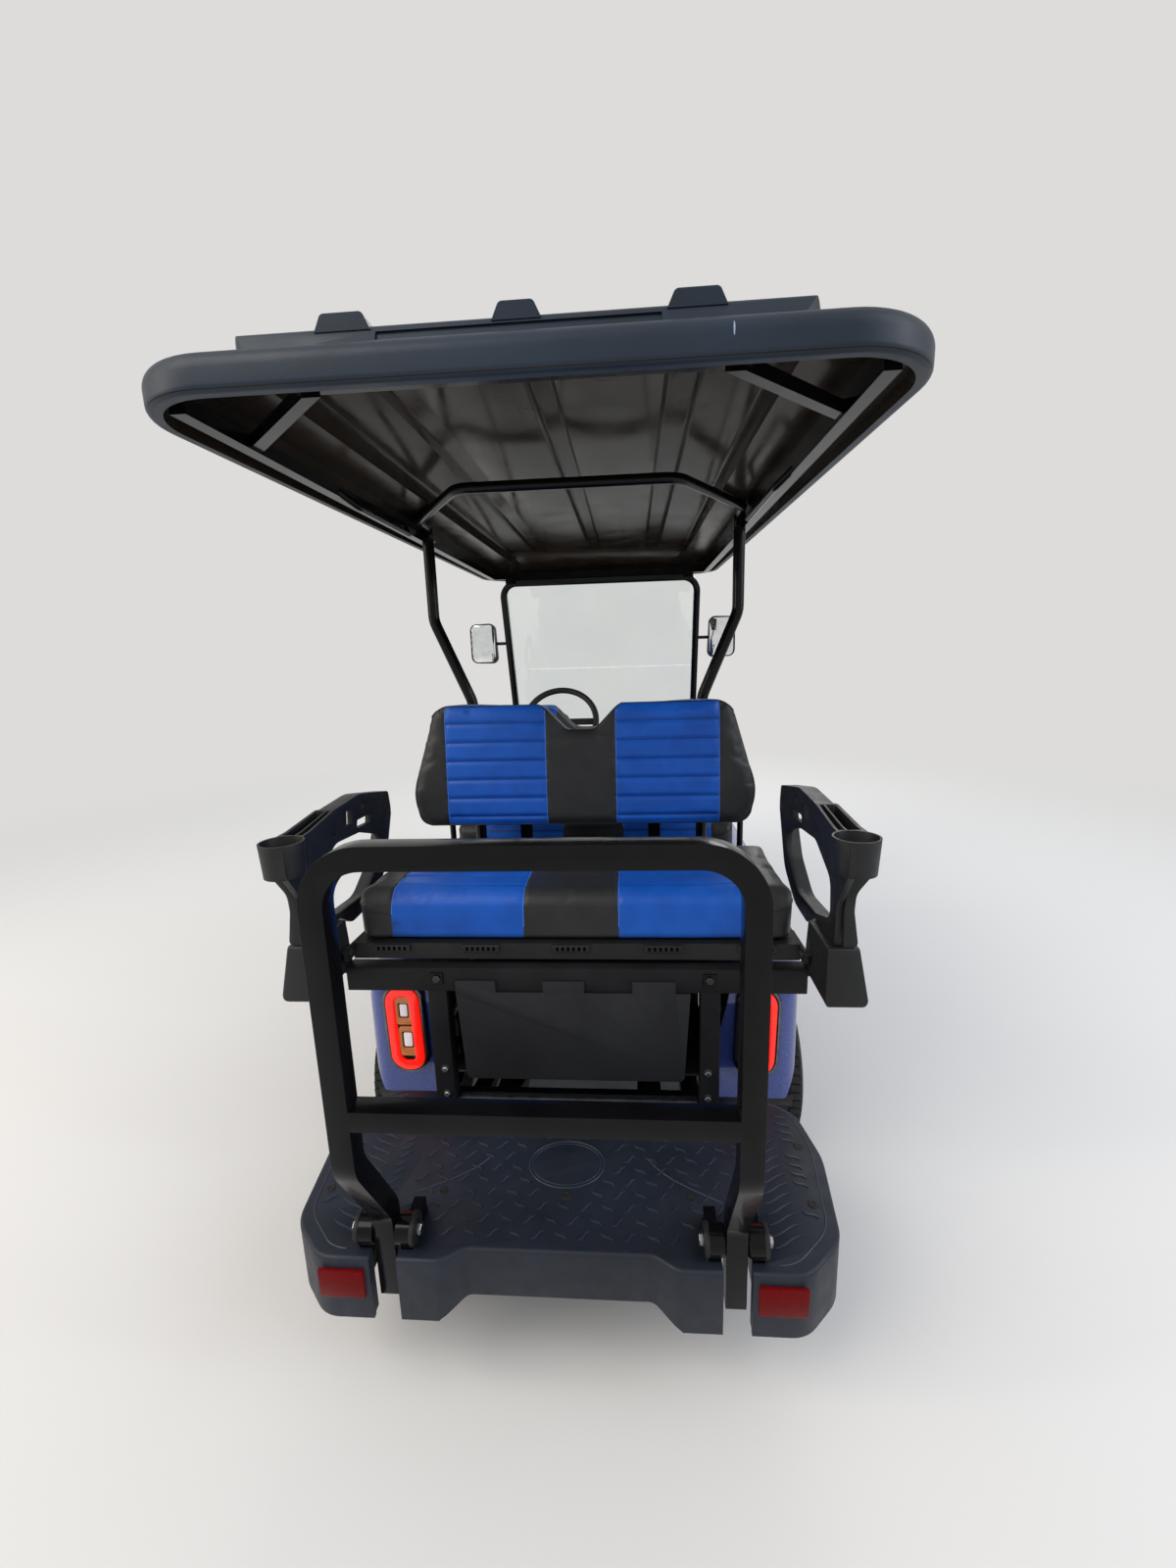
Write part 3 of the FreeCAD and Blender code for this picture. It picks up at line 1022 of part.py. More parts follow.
def knuckle():
    """Right-hand steering knuckle: kingpin post, spindle, brake drum and steering arm."""
    y = FRONT_AXLE_Y
    gap = 1.0
    low = LOWER_ARM_Z + EYE_HEIGHT + gap
    high = UPPER_ARM_Z - gap
    post = Part.makeCylinder(KINGPIN_RADIUS, UPPER_ARM_Z + EYE_HEIGHT - LOWER_ARM_Z - 4,
                             V(KINGPIN_X, y, LOWER_ARM_Z + 2))
    barrel = Part.makeCylinder(22, high - low, V(KINGPIN_X, y, low))
    spindle_end = FRONT_TRACK_HALF + SPINDLE_REACH
    spindle = rod((KINGPIN_X, y, TYRE_RADIUS), (spindle_end, y, TYRE_RADIUS), SPINDLE_RADIUS)
    drum_end = FRONT_TRACK_HALF + HUB_INNER - DRUM_GAP
    drum = rod((KINGPIN_X + EYE_RADIUS + 4, y, TYRE_RADIUS), (drum_end, y, TYRE_RADIUS), DRUM_RADIUS)
    boss_low = high - 8 - STEER_ARM_THICKNESS
    arm = prism([(KINGPIN_X - 14, y + 8, 4), (ROD_END_X - 12, y - STEER_ARM, 4),
                 (ROD_END_X + 12, y - STEER_ARM, 4), (KINGPIN_X + 14, y - 8, 4)], "xy",
                boss_low, boss_low + STEER_ARM_THICKNESS)
    boss = Part.makeCylinder(ROD_END_RADIUS, RACK_Z - ROD_END_HEIGHT / 2 - RACK_GAP - boss_low,
                             V(ROD_END_X, y - STEER_ARM, boss_low))
    return fused([post, barrel, spindle, drum, arm, boss])


def rear_axle():
    """Axle tube with its differential, motor block, brake drums and stub shafts."""
    y = REAR_AXLE_Y
    z = TYRE_RADIUS
    drum_end = REAR_TRACK_HALF + HUB_INNER - DRUM_GAP
    tube = rod((-drum_end + 5, y, z), (drum_end - 5, y, z), 32)
    stub = rod((drum_end - 20, y, z), (REAR_TRACK_HALF + SPINDLE_REACH, y, z), SPINDLE_RADIUS)
    drum = rod((drum_end - DRUM_WIDTH, y, z), (drum_end, y, z), DRUM_RADIUS)
    case = prism([(y - 88, z - 70, 40), (y + 150, z - 70, 50), (y + 190, z + 50, 50), (y - 60, z + 84, 40)],
                 "yz", 8 - RAIL_INNER_X, -50)
    motor = rod((-55, y + 120, z + 5), (RAIL_INNER_X - 8, y + 120, z + 5), MOTOR_RADIUS)
    return fused([tube, stub, mirrored(stub), drum, mirrored(drum), case, motor])


def rear_suspension():
    """Leaf springs with their shackles and the axle clamps."""
    y = REAR_AXLE_Y
    pieces = []
    top_z = TYRE_RADIUS - 32
    leaves = [
        # half length, leaf bottom below the axle tube
        (LEAF_HALF, 14),
        (0.7 * LEAF_HALF, 26),
        (0.4 * LEAF_HALF, 38),
    ]
    for half, drop in leaves:
        rise = (half / LEAF_HALF) ** 2 * LEAF_RISE
        low = top_z - drop
        lower = Part.Arc(V(LEAF_X, y - half, low + rise), V(LEAF_X, y, low), V(LEAF_X, y + half, low + rise))
        upper = Part.Arc(V(LEAF_X, y + half, low + rise + 12), V(LEAF_X, y, low + 12),
                         V(LEAF_X, y - half, low + rise + 12))
        ends = [Part.makeLine(V(LEAF_X, y + half, low + rise), V(LEAF_X, y + half, low + rise + 12)),
                Part.makeLine(V(LEAF_X, y - half, low + rise + 12), V(LEAF_X, y - half, low + rise))]
        face = Part.Face(Part.Wire([lower.toShape(), ends[0], upper.toShape(), ends[1]]))
        pieces.append(face.extrude(V(50, 0, 0)))
    for side in (-1, 1):
        eye_y = y + side * LEAF_HALF
        pieces.append(Part.makeCylinder(16, 50, V(LEAF_X, eye_y, RAIL_BOTTOM + 12), V(1, 0, 0)))
        pieces.append(box((LEAF_X + 8, LEAF_X + 42), (eye_y - 10, eye_y + 10), (RAIL_BOTTOM + 12, RAIL_BOTTOM + 35)))
    clamp = box((LEAF_X - 5, LEAF_X + 55), (y - 40, y + 40), (top_z - 46, top_z))
    return pair(fused(pieces + [clamp]))


def hoop_points():
    """Foot, head, far head and far foot of the windshield hoop."""
    foot = (WS_HALF_WIDTH, WS_FOOT_Y, WS_FOOT_Z)
    head = (WS_HALF_WIDTH, WS_HEAD_Y, WS_HEAD_Z)
    return [foot, head, (-head[0], head[1], head[2]), (-foot[0], foot[1], foot[2])]


def hoop_side(size):
    """The right-hand side of the windshield hoop as a straight bar."""
    return square_bar(hoop_points()[:2], 1, size, size, (1, 0, 0))


def windshield_frame():
    """Front hoop that carries the roof, its cross tube and its legs to the chassis."""
    half = WS_SIZE / 2
    foot, head = (V(*p) for p in hoop_points()[:2])
    facing = (head - foot).cross(V(1, 0, 0)).normalize()
    hoop = square_bar(hoop_points(), 70, WS_SIZE, WS_SIZE, facing)
    cross = box((-WS_HALF_WIDTH, WS_HALF_WIDTH), (WS_FOOT_Y - half, WS_FOOT_Y + half),
                (WS_FOOT_Z - half, WS_FOOT_Z + half))
    leg = box((RAIL_INNER_X + 15, RAIL_INNER_X + 45), (WS_FOOT_Y - half, WS_FOOT_Y + half), (RAIL_TOP, WS_FOOT_Z))
    return fused([hoop, cross, leg, mirrored(leg)])


def windshield():
    """Clear two-part screen on the front of the hoop."""
    slope = V(0, WS_HEAD_Y - WS_FOOT_Y, WS_HEAD_Z - WS_FOOT_Z)
    along = slope.normalize()
    normal = V(0, along.z, -along.y)
    panes = []
    for low, high in ((COWL_TOP + 25, WS_SPLIT_Z - 3), (WS_SPLIT_Z + 3, WS_HEAD_Z - 8)):
        start = (low - WS_FOOT_Z) / along.z
        end = (high - WS_FOOT_Z) / along.z
        outline = symmetric([(WS_HALF_WIDTH + 2, start, 14), (WS_HALF_WIDTH + 2, end, 14)])
        pane = Part.Face(rounded_wire(outline, lambda p: V(p.x, WS_FOOT_Y, WS_FOOT_Z) + along * p.y
                                      + normal * (WS_SIZE / 2))).extrude(normal * PANE_THICKNESS)
        panes.append(pane)
    return Part.makeCompound(panes)


def rear_strut():
    """Right-hand bent strut from the chassis to the roof rail."""
    return round_bar([(BACK_POST_X, STRUT_Y, RAIL_TOP), (BACK_POST_X, STRUT_Y, 1290),
                      (STRUT_TOP_X, STRUT_Y, 1555), (STRUT_TOP_X, STRUT_Y, HOOP_Z)], 90, STRUT_RADIUS)


def roof_frame():
    """Side rails under the roof, with the struts and bent hoop, tail, nose and grab handles seated against them."""
    r = ROOF_RAIL_SIZE / 2
    z = ROOF_RAIL_Z
    rear = ROOF_REAR_Y + 62
    front = WS_HEAD_Y - WS_SIZE
    side = box((ROOF_RAIL_X - r, ROOF_RAIL_X + r), (rear, front), (z - r, z + r))
    brace_y = ROOF_REAR_Y + 45
    brace = prism([(ROOF_RAIL_X, rear + 210, 0), (ROOF_RAIL_X - 228, brace_y, 0), (ROOF_RAIL_X - 200, brace_y, 0),
                   (ROOF_RAIL_X, rear + 178, 0)], "xy", z - 8, z + r)
    tail = box((-ROOF_RAIL_X + 190, ROOF_RAIL_X - 190), (brace_y - 5, brace_y + 14), (z, z + 20))
    nose = box((-ROOF_RAIL_X, ROOF_RAIL_X), (front - ROOF_RAIL_SIZE, front), (z - r, z + r))
    bracket = box((ROOF_RAIL_X - 100, ROOF_RAIL_X - 60), (front - 10, front + 10), (z - 30, z - r + 2))
    hoop = round_bar([(STRUT_TOP_X, STRUT_Y, HOOP_Z), (STRUT_TOP_X - 12, STRUT_Y - 120, HOOP_Z),
                      (HOOP_X, HOOP_Y, HOOP_Z), (-HOOP_X, HOOP_Y, HOOP_Z),
                      (12 - STRUT_TOP_X, STRUT_Y - 120, HOOP_Z), (-STRUT_TOP_X, STRUT_Y, HOOP_Z)], 60, 13)
    pad = box((STRUT_TOP_X - 16, ROOF_RAIL_X), (STRUT_Y - 30, STRUT_Y + 30), (z - 8, z + 8))
    grip_x = ROOF_RAIL_X - r - 22
    end = HANDLE_REAR_Y + HANDLE_LENGTH
    handle = round_bar([(ROOF_RAIL_X - 6, HANDLE_REAR_Y, z), (grip_x, HANDLE_REAR_Y + 44, z - 26),
                        (grip_x, end - 44, z - 26), (ROOF_RAIL_X - 6, end, z)], 30, 8)
    strut = rear_strut()
    carried = [fused([hoop, strut, mirrored(strut), pad, mirrored(pad)]), fused([tail, brace, mirrored(brace)]),
               fused([nose, bracket, mirrored(bracket)]), handle, mirrored(handle)]
    rails = [side, mirrored(side)]
    return Part.makeCompound(rails + [piece.cut(rails) for piece in carried])


def roof_outline(inset):
    """The roof seen from above; inset draws the outline inside itself."""
    rear, front = ROOF_REAR_Y + inset, ROOF_FRONT_Y - inset
    return symmetric([(ROOF_HALF_WIDTH - inset, rear, ROOF_CORNER - inset),
                      (ROOF_HALF_WIDTH - ROOF_TAPER - inset, front, ROOF_CORNER - inset)])


def roof_deck(inset, wall):
    """Raised middle of the roof, sloping down at the front; inset thins its top, wall its sides."""
    top = ROOF_DECK_TOP - inset
    base = ROOF_LIP_TOP - ROOF_SHEET - 1
    rear = ROOF_DECK_REAR_Y + wall
    half = ROOF_DECK_X - wall
    front = ROOF_FRONT_Y - 40 - wall
    side = prism([(rear, base, 0), (rear, ROOF_LIP_TOP, 0), (rear + 20, top, 14), (ROOF_SLOPE_Y, top, 150),
                  (front, ROOF_LIP_TOP - inset, 0), (front, base, 0)], "yz", -half, half)
    across = prism(symmetric([(half, base, 0), (half, ROOF_LIP_TOP, 0), (half - 16, top, 14)]), "xz", rear, front)
    plan = prism(symmetric([(half, rear, 60), (half - 20, front, 120)]), "xy", base, top)
    return side.common(across).common(plan)


def roof_hump(x, width, inset):
    """One of the long raised bands on the roof, or the hollow under it."""
    half = width / 2 - inset
    low = ROOF_DECK_TOP - ROOF_SHEET - 2
    return prism([(x - half - 5, low, 0), (x - half + 6, ROOF_HUMP_TOP - inset, 8),
                  (x + half - 6, ROOF_HUMP_TOP - inset, 8), (x + half + 5, low, 0)], "xz",
                 ROOF_DECK_REAR_Y + 14 + inset, ROOF_SLOPE_Y - 20 - inset)


def roof():
    """Moulded roof: rolled lip, raised deck with three humps, hollow below with their channels and a dish."""
    edge = prism(roof_outline(0), "xy", ROOF_LIP_BOTTOM, ROOF_LIP_TOP)
    edge = softened(edge, 28, level_edge(ROOF_LIP_TOP))
    edge = softened(edge, 10, level_edge(ROOF_LIP_BOTTOM))
    well = prism(roof_outline(ROOF_LIP_WIDTH), "xy", ROOF_LIP_BOTTOM - 1, ROOF_BEAM_BOTTOM)
    middle = prism(symmetric([(ROOF_BEAM_X, ROOF_REAR_Y + 30, 90), (ROOF_BEAM_X, ROOF_FRONT_Y - 30, 90)]), "xy",
                   ROOF_BEAM_BOTTOM - 1, ROOF_LIP_TOP - ROOF_SHEET)
    humps = []
    channels = []
    for x, width in ((-ROOF_HUMP_X, ROOF_HUMP_WIDTH), (0, ROOF_HUMP_WIDTH - 12), (ROOF_HUMP_X, ROOF_HUMP_WIDTH)):
        humps.append(roof_hump(x, width, 0))
        channels.append(roof_hump(x, width, ROOF_SHEET))
    skin = fused([edge, roof_deck(0, 0)] + humps)
    hollow = roof_deck(ROOF_SHEET, ROOF_WALL)
    skin = skin.cut(well).cut(middle).cut(hollow).cut(Part.makeCompound(channels))
    recess = prism([(ROOF_DECK_REAR_Y - 3, ROOF_LIP_TOP + 4, 0), (ROOF_DECK_REAR_Y + 8, ROOF_LIP_TOP + 4, 0),
                    (ROOF_DECK_REAR_Y + 17, ROOF_DECK_TOP - 12, 0), (ROOF_DECK_REAR_Y + 5, ROOF_DECK_TOP - 12, 0)],
                   "yz", -ROOF_HUMP_X + 48, ROOF_HUMP_X - 48)
    dish_rear = ROOF_SLOPE_Y + 20
    dish = prism(symmetric([(DISH_HALF_WIDTH - 40, dish_rear, 60), (DISH_HALF_WIDTH, ROOF_FRONT_Y - 60, 110)]), "xy",
                 ROOF_LIP_BOTTOM, ROOF_DECK_TOP)
    dish = dish.common(hollow.cut(roof_deck(ROOF_SHEET + 5, ROOF_WALL)))
    return fused([skin.cut(recess), dish])


def mirrors():
    """Side mirrors on short arms from the windshield hoop."""
    z = MIRROR_Z
    t = (z - WS_FOOT_Z) / (WS_HEAD_Z - WS_FOOT_Z)
    y = WS_FOOT_Y + t * (WS_HEAD_Y - WS_FOOT_Y)
    arm = rod((WS_HALF_WIDTH + WS_SIZE / 2, y, z), (MIRROR_X - 30, y, z), 8)
    shell = prism([(MIRROR_X - 68, z - 100, 30), (MIRROR_X + 68, z - 96, 34), (MIRROR_X + 68, z + 98, 34),
                   (MIRROR_X - 60, z + 102, 30)], "xz", y - 25, y + 12)
    return pair(fused([arm, shell]))


def pedals():
    """Accelerator and brake pedals on their arms below the dash."""
    foot_y = COWL_REAR_Y - 15
    run = V(0, 163, 636 - FLOOR_TOP).normalize()
    into_board = V(0, run.z, -run.y)
    pieces = []
    for x, width, z in ((-255, 84, 470), (-145, 56, 455)):
        centre = V(x, PEDAL_Y, z)
        reach = (V(x, foot_y, FLOOR_TOP) - centre).dot(into_board) - SEAT_GAP
        plate = box((x - width / 2, x + width / 2), (PEDAL_Y - 6, PEDAL_Y + 2), (z - 45, z + 45))
        pieces.append(fused([plate, Part.makeCylinder(12, reach, centre, into_board)]))
    return Part.makeCompound(pieces)


def battery_pack():
    """Battery block between the rails under the front seat."""
    return box((-BATTERY_HALF_WIDTH, BATTERY_HALF_WIDTH), (POD_REAR_Y + 150, POD_FRONT_Y - 100), (RAIL_TOP, BATTERY_TOP))


def make_nodes():
    """Every sub-part by its node name."""
    nodes = {
        "chassis_frame": chassis_frame(),
        "floor_pan": floor_pan(),
        "side_sills": side_sills(),
        "rear_body": rear_body(),
        "bay_liner": bay_liner(),
        "taillights": taillights(),
        "front_seat_cushion": front_seat_cushion(),
        "front_backrest": front_backrest(),
        "seat_back_frame": Part.makeCompound([seat_back_frame(), hip_rails()]),
        "rear_seat_frame": rear_seat_frame(),
        "rear_seat_deck": rear_seat_deck(),
        "rear_seat_cushion": rear_seat_cushion(),
        "rear_backrest": rear_backrest(),
        "storage_bin": storage_bin(),
        "armrests": pair(armrest()),
        "armrest_bases": pair(armrest_base()),
        "footplate": footplate(),
        "footplate_frame": footplate_frame(),
        "grab_bar": grab_bar(),
        "reflectors": reflectors(),
        "rear_axle": rear_axle(),
        "rear_suspension": rear_suspension(),
        "front_suspension": front_suspension(),
        "steering_column": steering_column(),
        "steering_rack": steering_rack(),
        "steering_wheel": steering_wheel(),
        "dashboard": dashboard(),
        "front_cowl": front_cowl(),
        "front_bumper": front_bumper(),
        "headlamps": headlamps(),
        "windshield_frame": windshield_frame(),
        "windshield": windshield(),
        "roof_frame": roof_frame(),
        "roof": roof(),
        "mirrors": mirrors(),
        "pedals": pedals(),
        "battery_pack": battery_pack(),
    }
    right_knuckle = knuckle()
    nodes["knuckle_right"] = right_knuckle
    nodes["knuckle_left"] = mirrored(right_knuckle)
    for place, x, y in (("front", FRONT_TRACK_HALF, FRONT_AXLE_Y), ("rear", REAR_TRACK_HALF, REAR_AXLE_Y)):
        right_rim = rim(x, y)
        right_tyre = tyre(x, y)
        nodes["rim_" + place + "_right"] = right_rim
        nodes["rim_" + place + "_left"] = mirrored(right_rim)
        nodes["tyre_" + place + "_right"] = right_tyre
        nodes["tyre_" + place + "_left"] = mirrored(right_tyre)
    return nodes


os.makedirs("parts", exist_ok=True)
for name, shape in make_nodes().items():
    shape.exportStep("parts/" + name + ".step")
    print(f"{name:24s} solids {len(shape.Solids):2d} valid {shape.isValid()} volume {shape.Volume / 1e6:8.2f} litres")
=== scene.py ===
# %% [markdown]
# A four-seat golf cart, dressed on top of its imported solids. The solids give every size and every moving body;
# this lesson adds the looks: paint, vinyl, rubber, glass, stitching, tread and small hardware.

# %% Load the fixed frame
import json
import math
import bmesh
import bpy
from mathutils import Matrix, Vector
from mathutils.bvhtree import BVHTree


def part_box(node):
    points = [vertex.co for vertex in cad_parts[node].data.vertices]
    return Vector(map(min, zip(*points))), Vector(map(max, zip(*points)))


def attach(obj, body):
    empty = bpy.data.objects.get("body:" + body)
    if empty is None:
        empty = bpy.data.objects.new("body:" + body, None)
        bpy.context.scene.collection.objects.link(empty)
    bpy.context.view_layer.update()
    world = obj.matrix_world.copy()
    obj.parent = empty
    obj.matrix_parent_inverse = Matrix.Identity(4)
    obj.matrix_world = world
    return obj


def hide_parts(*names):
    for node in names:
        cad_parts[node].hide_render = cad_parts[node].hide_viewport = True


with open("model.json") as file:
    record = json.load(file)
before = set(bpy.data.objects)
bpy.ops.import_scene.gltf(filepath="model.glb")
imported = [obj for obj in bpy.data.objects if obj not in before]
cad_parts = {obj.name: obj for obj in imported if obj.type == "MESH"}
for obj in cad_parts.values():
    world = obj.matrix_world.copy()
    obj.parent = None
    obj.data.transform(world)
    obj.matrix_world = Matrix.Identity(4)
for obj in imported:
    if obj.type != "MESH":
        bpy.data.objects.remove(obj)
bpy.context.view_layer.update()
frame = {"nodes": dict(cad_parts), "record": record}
SCENE = bpy.context.scene
BODY_OF = {node: body for body, nodes in frame["record"]["behaviour"]["bodies"].items() for node in nodes}

# %% [markdown]
# The camera stands behind the cart at eye height with a very wide lens, turned a little left and down.
# Its axes are worked out from three angles, so that no tracking constraint is needed.

# %% Camera at the photograph's viewpoint
EYE = (0.151, -2.395, 1.435)
EYE_TURN = (-4.24, 11.80, -1.75)  # yaw, pitch and roll in degrees
LENS_MM = 14.25


def turned_axes(yaw, pitch, roll):
    """Right, up and backward axes of a camera that looks along +Y before it is turned."""
    ahead = Vector((math.sin(yaw), math.cos(yaw), 0))
    right = Vector((math.cos(yaw), -math.sin(yaw), 0))
    up = Vector((0, 0, 1))
    view = ahead * math.cos(pitch) - up * math.sin(pitch)
    lift = up * math.cos(pitch) + ahead * math.sin(pitch)
    return (right * math.cos(roll) + lift * math.sin(roll),
            lift * math.cos(roll) - right * math.sin(roll), -view)


def shown(name, data):
    """A new object with this data, put into the scene."""
    made = bpy.data.objects.new(name, data)
    SCENE.collection.objects.link(made)
    return made


def place_camera():
    """One camera whose focal length is given on the long side of a portrait picture."""
    data = bpy.data.cameras.new("eye")
    data.sensor_fit = "VERTICAL"
    data.sensor_height = 36
    data.lens = LENS_MM
    data.clip_start = 0.02
    axes = turned_axes(*map(math.radians, EYE_TURN))
    turn = Matrix([list(axis) for axis in axes]).transposed().to_4x4()
    SCENE.camera = shown("eye", data)
    SCENE.camera.matrix_world = Matrix.Translation(EYE) @ turn


place_camera()
print("eye", EYE, "lens", LENS_MM, "mm")

# %% [markdown]
# Materials are node trees. One small function adds any node with its settings and its links, and one turns a
# written colour into the linear numbers that the shader works in.

# %% Colour and node helpers
def srgb(text):
    """A hex colour as linear red, green, blue and alpha."""
    parts = [int(text[i:i + 2], 16) / 255 for i in (1, 3, 5)]
    return tuple(c / 12.92 if c <= 0.04045 else ((c + 0.055) / 1.055) ** 2.4 for c in parts) + (1.0,)


def tone(value):
    """A hex text as a linear colour, or a number as the grey that drives a roughness."""
    return srgb(value) if isinstance(value, str) else (value, value, value, 1)


def add(tree, kind, inputs=None, stops=None, **settings):
    """Adds a node; inputs holds values or sockets by name or number, stops a ramp's (position, colour) pairs."""
    node = tree.nodes.new(kind)
    for key, value in settings.items():
        setattr(node, key, value)
    for key, value in (inputs or {}).items():
        if isinstance(value, bpy.types.NodeSocket):
            tree.links.new(value, node.inputs[key])
        else:
            node.inputs[key].default_value = value
    if stops:
        bar = node.color_ramp.elements
        bar[0].position, bar[0].color = stops[0]
        bar[1].position, bar[1].color = stops[-1]
        for position, colour in stops[1:-1]:
            bar.new(position).color = colour
    return node


# %% [markdown]
# Every finish starts from a Principled shader. Real finishes are never even, so soft patches run between two
# colours or two greys, and one function joins the results to the shader.

# %% Starting and joining a finish
def new_finish(name, **shader_values):
    """A material with a Principled shader; returns the material, its tree, shader and object coordinates."""
    made = bpy.data.materials.new(name)
    made.use_nodes = True
    tree = made.node_tree
    tree.nodes.clear()
    shader = add(tree, "ShaderNodeBsdfPrincipled")
    for key, value in shader_values.items():
        shader.inputs[key.replace("_", " ")].default_value = value
    add(tree, "ShaderNodeOutputMaterial", {"Surface": shader.outputs[0]})
    place = add(tree, "ShaderNodeTexCoord").outputs["Object"]
    return made, tree, shader, place


def patches(tree, place, size_mm, detail, low, high, roughness=0.5, ends=(0.3, 0.7)):
    """Soft patches about this many millimetres across, from low to high, each a hex colour or a grey level."""
    cloud = add(tree, "ShaderNodeTexNoise", {"Vector": place, "Scale": 1000 / size_mm, "Detail": detail,
                                             "Roughness": roughness}).outputs["Fac"]
    return add(tree, "ShaderNodeValToRGB", {"Fac": cloud}, list(zip(ends, map(tone, (low, high))))).outputs["Color"]


def surface(tree, shader, colour, rough=None, height=None, depth_mm=0.0):
    """Joins a colour, a roughness and a height field of this real depth to the shader."""
    joins = {"Base Color": colour, "Roughness": rough}
    if height is not None:
        joins["Normal"] = add(tree, "ShaderNodeBump", {"Height": height, "Distance": depth_mm / 1000,
                                                       "Strength": 1.0}).outputs["Normal"]
    for name, source in joins.items():
        if source is not None:
            tree.links.new(source, shader.inputs[name])


def cloudy(name, colour, rough, skin, **shader_values):
    """A finish of soft patches. Colour and roughness are rows for patches; skin is (size mm, detail, depth mm)."""
    made, tree, shader, place = new_finish(name, **shader_values)
    size_mm, detail, depth_mm = skin
    height = add(tree, "ShaderNodeTexNoise", {"Vector": place, "Scale": 1000 / size_mm, "Detail": detail})
    surface(tree, shader, patches(tree, place, *colour), patches(tree, place, *rough), height.outputs["Fac"],
            depth_mm)
    return made


def by_side(tree, outer, inner):
    """The outer value on a shell's outside, and the inner one where the mesh's "inside" attribute is set."""
    inside = add(tree, "ShaderNodeAttribute", attribute_name="inside").outputs["Fac"]
    return add(tree, "ShaderNodeMix", {0: inside, 6: outer, 7: inner}, data_type="RGBA").outputs[2]


# %% [markdown]
# Car paint is a blue base with fine metal flakes under clear lacquer. The flakes are drawn at 1.2 mm,
# coarser than the real 0.1 mm, because finer ones would vanish at this distance. The shell's inside is left
# as bare black plastic; an attribute on the mesh, made further down, tells the two apart.

# %% Automotive paint
def automotive_paint():
    made, tree, shader, place = new_finish("metallic_blue_lacquer", Metallic=0.35, Coat_Weight=1.0,
                                           Coat_Roughness=0.04, Coat_IOR=1.5)
    flakes = add(tree, "ShaderNodeTexVoronoi", {"Vector": place, "Scale": 1000 / 1.2}).outputs["Color"]
    glitter = add(tree, "ShaderNodeSeparateColor", {"Color": flakes}).outputs[0]
    shades = [(0.0, srgb("#1C2E70")), (0.7, srgb("#223884")), (1.0, srgb("#3F57A6"))]
    blue = add(tree, "ShaderNodeValToRGB", {"Fac": glitter}, shades).outputs["Color"]
    peel = add(tree, "ShaderNodeTexNoise", {"Vector": place, "Scale": 1000 / 9, "Detail": 1}).outputs["Fac"]
    surface(tree, shader, by_side(tree, blue, tone("#0A0A0B")),
            by_side(tree, patches(tree, place, 60, 4, 0.30, 0.38), tone(0.6)), peel, 0.02)
    return made


BLUE_PAINT = automotive_paint()

# %% [markdown]
# The tubes are powder coated: plastic powder baked on steel. It flows into a gloss skin with a faint
# orange peel about 3 mm across, which breaks up the reflections. The seat's frame has a satin powder.

# %% Powder-coated steel
def powder_coat(name, dark, light, rough, lacquer):
    return cloudy(name, (80, 4, dark, light), (45, 6, rough, rough + 0.11, 0.6, (0.35, 0.75)), (3.2, 2, 0.05),
                  Specular_IOR_Level=0.1, Coat_Weight=lacquer, Coat_Roughness=0.05)


STEEL_BLACK = powder_coat("powder_coated_steel_gloss_black", "#08080A", "#0E0E10", 0.16, 0.12)
STEEL_SATIN = powder_coat("powder_coated_steel_satin_black", "#19191B", "#212123", 0.42, 0.0)

# %% [markdown]
# The arms, tray and covers are moulded polypropylene with a spark-eroded grain. Grain catches light as a
# grey sheen, so the roughness is high and the bump is a fine cellular one, 1.4 mm across. The same function
# with less roughness gives gloss mouldings, and with a 1 mm cell the welt cords.

# %% Grained plastics
def grained_plastic(name, dark, light, rough, grain_mm, depth_mm, shine=0.3):
    made, tree, shader, place = new_finish(name, Specular_IOR_Level=shine)
    cells = add(tree, "ShaderNodeTexVoronoi", {"Vector": place, "Scale": 1000 / grain_mm, "Randomness": 1.0},
                feature="SMOOTH_F1").outputs["Distance"]
    surface(tree, shader, patches(tree, place, 140, 5, dark, light, 0.6, (0.3, 0.72)),
            patches(tree, place, 30, 4, rough - 0.06, rough + 0.06), cells, depth_mm)
    return made


BLACK_PLASTIC = grained_plastic("polypropylene_grained_black", "#141516", "#1D1E20", 0.50, 1.4, 0.10)
TRAY_PLASTIC = grained_plastic("polypropylene_tray_charcoal", "#161B25", "#1F2531", 0.52, 2.0, 0.14)
# The tread is lighter than the tray under it: a painted highlight along the raised strokes, lines and rings.
TREAD_PLASTIC = grained_plastic("polypropylene_tread_painted_highlight", "#232935", "#2D3443", 0.38, 2.0, 0.05, 0.5)
BIN_PLASTIC = grained_plastic("polyethylene_bin_dark_grey", "#17181B", "#202125", 0.60, 1.8, 0.08)
CASE_PLASTIC = grained_plastic("battery_case_polypropylene", "#0E0E10", "#161618", 0.45, 2.5, 0.05)
ALLOY_BLACK = grained_plastic("gloss_black_cast_wheel", "#101113", "#17181A", 0.20, 5.0, 0.02)
# Painted shade: flat black standing in for the dark inside of slots too small to cut.
SLOT_PAINTED_SHADE = grained_plastic("painted_slot_shade", "#020202", "#050505", 0.9, 5.0, 0.01, 0.0)
DARK_TRIM = grained_plastic("polished_black_polycarbonate", "#0E0E10", "#151517", 0.14, 6.0, 0.01)
THREAD_BLUE = grained_plastic("blue_welt_cord", "#2A62BE", "#3E7BD8", 0.45, 1.0, 0.08)
THREAD_BLACK = grained_plastic("black_welt_cord", "#141416", "#1D1D1F", 0.42, 1.0, 0.08)
